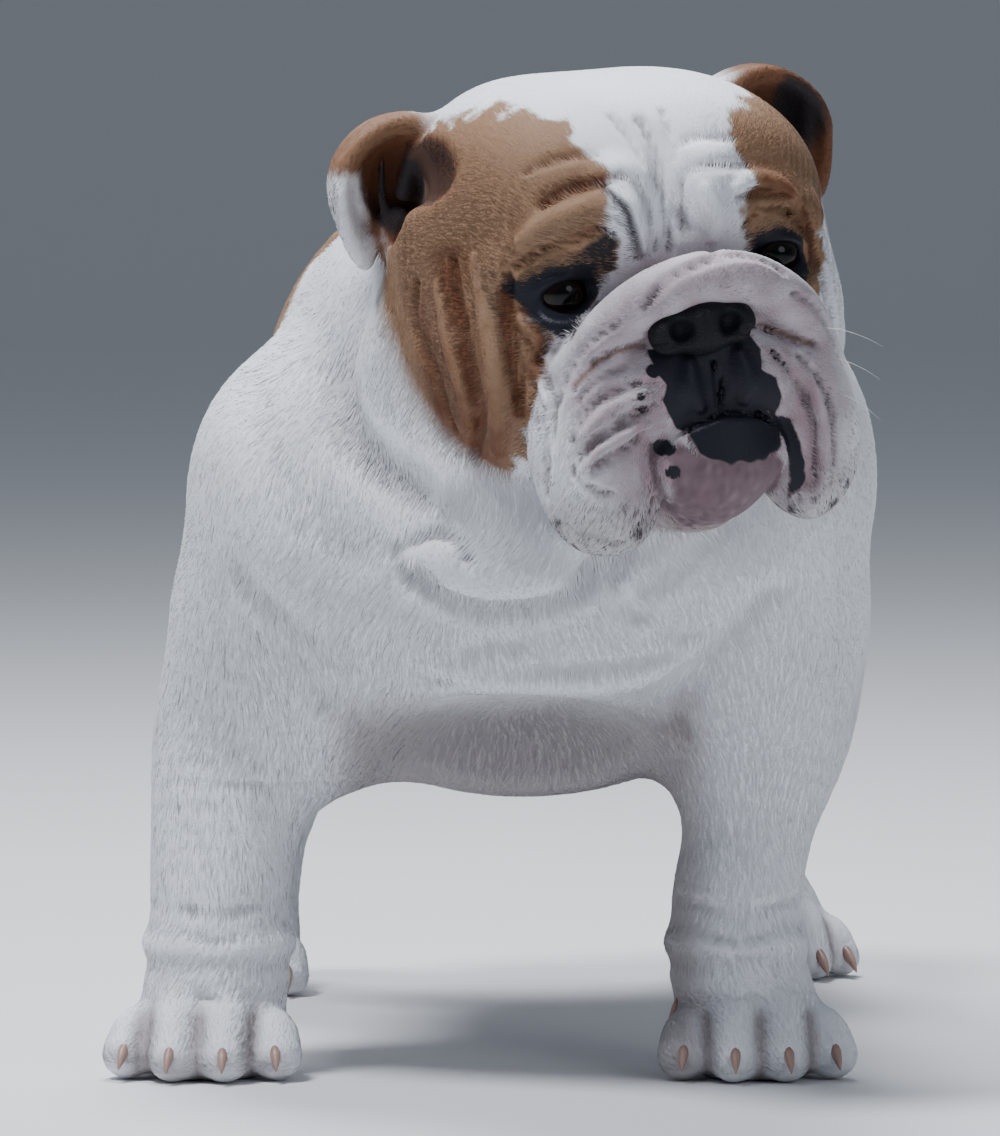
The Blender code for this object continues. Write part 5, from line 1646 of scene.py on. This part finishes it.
def roots_on(mesh):
    """Random points in the faces, one in each small face and more in each large one."""
    starts, sizes = np.empty(len(mesh.polygons), np.int32), np.empty(len(mesh.polygons), np.int32)
    mesh.polygons.foreach_get("loop_start", starts)
    mesh.polygons.foreach_get("loop_total", sizes)
    areas = np.empty(len(mesh.polygons), np.float32)
    mesh.polygons.foreach_get("area", areas)
    corners = np.empty(len(mesh.loops), np.int32)
    mesh.loops.foreach_get("vertex_index", corners)
    far = np.where(sizes > 3, 3, 2)
    ids = np.column_stack([corners[starts], corners[starts + 1], corners[starts + 2], corners[starts + far]])
    wanted = areas / GRID**2 * TUFTS_PER_FACE
    times = np.clip(np.floor(wanted + rng.random(len(wanted))), 0, TUFTS_PER_FACE + 1).astype(int)
    times = np.where(areas < 0.45 * GRID**2, 1, times)
    ids = ids.repeat(times, 0)
    u, v = rng.random(len(ids)), rng.random(len(ids))
    weights = np.column_stack([(1 - u) * (1 - v), u * (1 - v), u * v, (1 - u) * v])
    return ids, weights


def spread(values, ids, weights):
    """Values of the skin's points, read at the roots."""
    return np.einsum("nk,nk...->n...", weights, values[ids])


# %% Roots of the tufts
ids, weights = roots_on(skin_mesh)
root = spread(skin_points, ids, weights)
root_normal = unit(spread(skin_normals, ids, weights))
root_share = spread(skin_head_share, ids, weights)
on_muzzle = smooth_step(0.066, 0.050, np.linalg.norm(to_head(root) - (0, -0.040, -0.050), axis=1))
jitter = root + rng.normal(size=root.shape) * (0.0008 - 0.0007 * on_muzzle)[:, None]
root_marks = marks_at(jitter, root_share)
# the tufts take the same painted shade and soil in the folds as the skin under them
shade_and_soil_folds(root_marks, spread(skin_hollow, ids, weights), root_share)
root_length = coat_length(root, root_normal, root_share, root_marks)
grows = root_length > SHORTEST_HAIR
root, root_normal, root_share = root[grows], root_normal[grows], root_share[grows]
root_marks, root_length = root_marks[grows], root_length[grows] * rng.uniform(0.75, 1.2, grows.sum())
root_lie = coat_lie(root, root_normal, root_share)
root_strand = rng.random(len(root))
print("tufts:", len(root), "of mean length", round(root_length.mean() / MM, 1), "mm")

# %% Shape of the tufts
ROOT_SINK = 0.0003
turn = rng.normal(size=len(root)) * 0.12
root_side = np.cross(root_normal, root_lie)
root_lie = unit(root_lie * np.cos(turn)[:, None] + root_side * np.sin(turn)[:, None])
root_side = np.cross(root_normal, root_lie)
root_width = (0.00024 + root_length * 0.042) * rng.uniform(0.8, 1.25, len(root))
root_thick = root_width * 0.5
tip_height = 0.05 * root_length * rng.uniform(0.4, 1.6, len(root)) + 0.0001
tip = root + root_lie * (root_length * 0.98)[:, None]
gap = in_chunks(skin_distance, tip)
tip += root_normal * np.clip(tip_height - gap, -0.004, 0.004)[:, None]
tip[:, 2] = np.maximum(tip[:, 2], 0.0008)
root_base = root - root_normal * ROOT_SINK
print("tufts are", round(root_width.mean() / MM, 2), "mm wide at the root")

# %% Where each coat piece lies
MOST_TRIANGLES, BAKE_PATCH = 190000, 0.001
LAY = {
    # piece: the shape of its unwrap, with the centre and axis of that shape
    "coat_face_right": ("ball", HEAD @ Vector(HEAD_MIDDLE), None),
    "coat_face_left": ("ball", HEAD @ Vector(HEAD_MIDDLE), None),
    "coat_trunk": ("tube", HOME @ Vector((MID_X, 0.1, 0.24)), "Y"),
    "coat_neck": ("tube", HOME @ Vector((0.03, 0.0, 0.29)), "Y"),
    "coat_fore_right": ("tube", HOME @ Vector(FOREARM["right"]), "Z"),
    "coat_fore_left": ("tube", HOME @ Vector(FOREARM["left"]), "Z"),
    "coat_hind_right": ("tube", HOME @ Vector(((STIFLE["right"][0] + HOCK["right"][0]) / 2, 0.33, 0.1)), "Z"),
    "coat_hind_left": ("tube", HOME @ Vector(((STIFLE["left"][0] + HOCK["left"][0]) / 2, 0.37, 0.1)), "Z"),
}


def unwrap(points, way, centre, axis):
    """Places on a flat sheet, from 0 to 1, for points round a ball or a tube."""
    off = points - np.array(centre)
    if way == "ball":
        flat = unit(off)
        return np.column_stack([0.5 + np.arctan2(flat[:, 0], -flat[:, 1]) / (2 * pi) * 0.96,
                                0.5 + np.arcsin(np.clip(flat[:, 2], -1, 1)) / pi * 0.96])
    first, along = (0, 1) if axis == "Y" else (0, 2)
    second = 2 if axis == "Y" else 1
    round_it = 0.5 + np.arctan2(off[:, first], off[:, second]) / (2 * pi) * 0.96
    length = off[:, along]
    spread_out = (length - length.min()) / max(np.ptp(length), 1e-6)
    return np.column_stack([round_it, 0.02 + 0.96 * spread_out])


# %% A piece of coat


def coat_mesh(name, chosen, sheet):
    """One mesh of the chosen tufts: three corners round each root, and the tip."""
    base, lie, side, normal = root_base[chosen], root_lie[chosen], root_side[chosen], root_normal[chosen]
    wide, thick = root_width[chosen][:, None] / 2, root_thick[chosen][:, None]
    crest = base + normal * (thick + ROOT_SINK) + lie * wide
    rows = (base - side * wide, base + side * wide, crest, tip[chosen])
    leans = (normal - 0.2 * side, normal + 0.2 * side, normal, normal + 0.15 * lie)
    patch = np.array(((-1.5, -1.5), (1.5, -1.5), (0.0, -1.0), (0.0, 1.5))) * BAKE_PATCH
    count = len(base)
    normals = unit(np.stack(leans, 1).reshape(-1, 3))
    faces = np.array(((0, 1, 3), (1, 2, 3), (2, 0, 3)))
    faces = (np.arange(count)[:, None, None] * 4 + faces).reshape(-1, 3)
    mesh = new_mesh(name, np.stack(rows, 1).reshape(-1, 3), [faces])
    mesh.shade_smooth()
    store(mesh, "marks", "FLOAT_COLOR", root_marks[chosen].repeat(4, 0))
    store(mesh, "strand", "FLOAT", root_strand[chosen].repeat(4))
    store(mesh, "custom_normal", "FLOAT_VECTOR", normals)
    uv = sheet.repeat(4, 0) + np.tile(patch, (count, 1))
    layer = mesh.uv_layers.new(name="OFBake")
    layer.uv.foreach_set("vector", uv[faces.ravel()].astype(np.float32).ravel())
    return mesh


# %% Share the tufts out over the pieces
place = root - np.array(MOVE)
local = to_head(root)
is_head = root_share > 0.5
left_half = place[:, 0] > MID_X
low = place[:, 2] < 0.165
behind = place[:, 1] > 0.19
hind_low = place[:, 2] < 0.18
group = np.select(
    [is_head & (local[:, 0] < 0), is_head, low & ~behind & ~left_half, low & ~behind & left_half,
     hind_low & behind & ~left_half, hind_low & behind & left_half, place[:, 1] < 0.055],
    [0, 1, 4, 5, 6, 7, 3], default=2)
MOST_TUFTS = MOST_TRIANGLES // 3
for number, (name, (way, centre, axis)) in enumerate(LAY.items()):
    chosen = np.flatnonzero(group == number)
    sheets = unwrap(root[chosen], way, centre, axis)
    order = np.argsort(root[chosen, 1])
    for count, picked in enumerate(np.array_split(order, -(-len(chosen) // MOST_TUFTS))):
        label = f"{name}_{count + 1}"
        mesh = coat_mesh(label, chosen[picked], sheets[picked])
        show(label, mesh, coat_material)
        print(label, len(mesh.polygons), "triangles")

# %% [markdown]
# ## Whiskers
#
# A few stiff whiskers stand out of the lips.  Each is a thin tapering tube along a short curve that sags a
# little to its end.  They are made apart from the coat, as they are longer, stiffer and far fewer.

# %% Whiskers
WHISKERS = (
    # the root's place on the face, the way it points (left, back and up), and its length in millimetres
    ((54, -30), (1.0, 0.2, -0.25), 26), ((58, -44), (1.0, 0.25, -0.4), 20),
    ((56, -58), (1.0, 0.2, -0.6), 18), ((-60, -62), (-1.0, 0.1, -0.5), 20),
    ((-64, -74), (-1.0, 0.1, -0.7), 16), ((-60, -50), (-1.0, 0.05, -0.3), 18),
)
WHISKER_STEPS, WHISKER_SIDES, WHISKER_RADIUS = 8, 5, 0.00020


def whisker_mesh():
    rows, faces = [], []
    for place, way, length in WHISKERS:
        start = on_face([place])[0]
        way = np.array(way, float)
        way /= np.linalg.norm(way)
        side = np.cross(way, (0, 0, 1))
        side /= np.linalg.norm(side)
        up = np.cross(side, way)
        for i in range(WHISKER_STEPS + 1):
            t = i / WHISKER_STEPS
            centre = start + way * length * MM * t - np.array((0, 0, 0.25)) * length * MM * t * t
            thick = WHISKER_RADIUS * (1 - 0.85 * t)
            first = len(rows)
            for j in range(WHISKER_SIDES):
                a = 2 * pi * j / WHISKER_SIDES
                rows.append(centre + side * thick * cos(a) + up * thick * sin(a))
                after = (j + 1) % WHISKER_SIDES
                if i < WHISKER_STEPS:
                    faces.append((first + j, first + after, first + WHISKER_SIDES + after,
                                  first + WHISKER_SIDES + j))
    return new_mesh("whiskers", from_head_frame(np.array(rows)), [np.array(faces)])


whisker_material, tree, shader = new_material("whisker", 0.4, Base_Color=(0.7, 0.66, 0.62, 1))
show("whiskers", whisker_mesh(), whisker_material)
print("whiskers:", len(WHISKERS))

# %% [markdown]
# ## Floor, light and camera
#
# The dog stands in the middle of a plain pale floor that curves up into a wall far away on every side, so
# that no edge shows from any angle.  A light high at the dog's right front does most of the work, one above
# the back draws its contour, a weak one fills from the dog's left, and the pale world fills the shadows.
# The camera stands 3.8 m in front, level with the top of the head, with a long lens.

# %% Floor
FLOOR_REACH, WALL_CURVE, FLOOR_SIDES = 9.0, 5.0, 96


def floor_mesh():
    """A flat disc whose border curves up into a wall, spun round the dog."""
    turns = np.linspace(0, pi / 2, 13)
    profile = [(0.001, 0.0), (2.0, 0.0), (5.0, 0.0)]
    profile += [(FLOOR_REACH + WALL_CURVE * sin(a), WALL_CURVE * (1 - cos(a))) for a in turns]
    angles = np.arange(FLOOR_SIDES) * 2 * pi / FLOOR_SIDES
    points = np.array([(reach * cos(a), reach * sin(a), z) for reach, z in profile for a in angles])
    first = np.arange(len(profile) - 1)[:, None] * FLOOR_SIDES + np.arange(FLOOR_SIDES)
    after = np.arange(len(profile) - 1)[:, None] * FLOOR_SIDES + (np.arange(FLOOR_SIDES) + 1) % FLOOR_SIDES
    quads = np.stack([first, first + FLOOR_SIDES, after + FLOOR_SIDES, after], -1).reshape(-1, 4)
    mesh = new_mesh("floor", points, [quads, np.arange(FLOOR_SIDES)[None]])
    mesh.shade_smooth()
    return mesh


floor = bpy.data.objects.new("floor", floor_mesh())
bpy.context.scene.collection.objects.link(floor)
floor_material, tree, shader = new_material("pale_floor", 0.85, Base_Color=(0.70, 0.70, 0.71, 1))
floor.data.materials.append(floor_material)
print("floor:", round(2 * (FLOOR_REACH + WALL_CURVE)), "m across")

# %% Light
world = bpy.data.worlds.new("studio")
world.use_nodes = True
world.node_tree.nodes["Background"].inputs["Color"].default_value = (0.76, 0.86, 1.0, 1)
world.node_tree.nodes["Background"].inputs["Strength"].default_value = 0.26
bpy.context.scene.world = world


def area_light(name, place, size, power, colour):
    light = bpy.data.lights.new(name, "AREA")
    light.shape, light.size, light.energy, light.color = "DISK", size, power, colour
    lamp = bpy.data.objects.new(name, light)
    lamp.location = place
    lamp.rotation_euler = (Vector((0, 0, 0.25)) - Vector(place)).to_track_quat("-Z", "Y").to_euler()
    bpy.context.scene.collection.objects.link(lamp)


area_light("key", (-0.9, -0.8, 2.6), 0.8, 82, (0.91, 0.95, 1.0))
area_light("fill", (1.9, -2.4, 1.3), 1.6, 16, (0.90, 0.95, 1.0))
area_light("top", (-0.1, 0.7, 2.4), 1.0, 72, (0.93, 0.96, 1.0))
print("lights:", [lamp.name for lamp in bpy.data.lights])

# %% Camera
# in rows of the picture: its height, the focal length, and how far the horizon lies above its middle
FRAME_ROWS, FOCUS_ROWS, HORIZON_ROWS = 1136, 8930, 526
SENSOR = 36
camera_data = bpy.data.cameras.new("camera")
camera_data.sensor_width = SENSOR
camera_data.lens = FOCUS_ROWS / FRAME_ROWS * SENSOR
camera_data.clip_end = 200
camera = bpy.data.objects.new("camera", camera_data)
camera.location = Vector((0, -3.8, 0.44)) + MOVE
camera.rotation_euler = (pi / 2 - atan(HORIZON_ROWS / FOCUS_ROWS), 0, 0)
bpy.context.scene.collection.objects.link(camera)
bpy.context.scene.camera = camera
print("lens:", round(camera_data.lens), "mm")

# %% The end
bpy.context.view_layer.update()
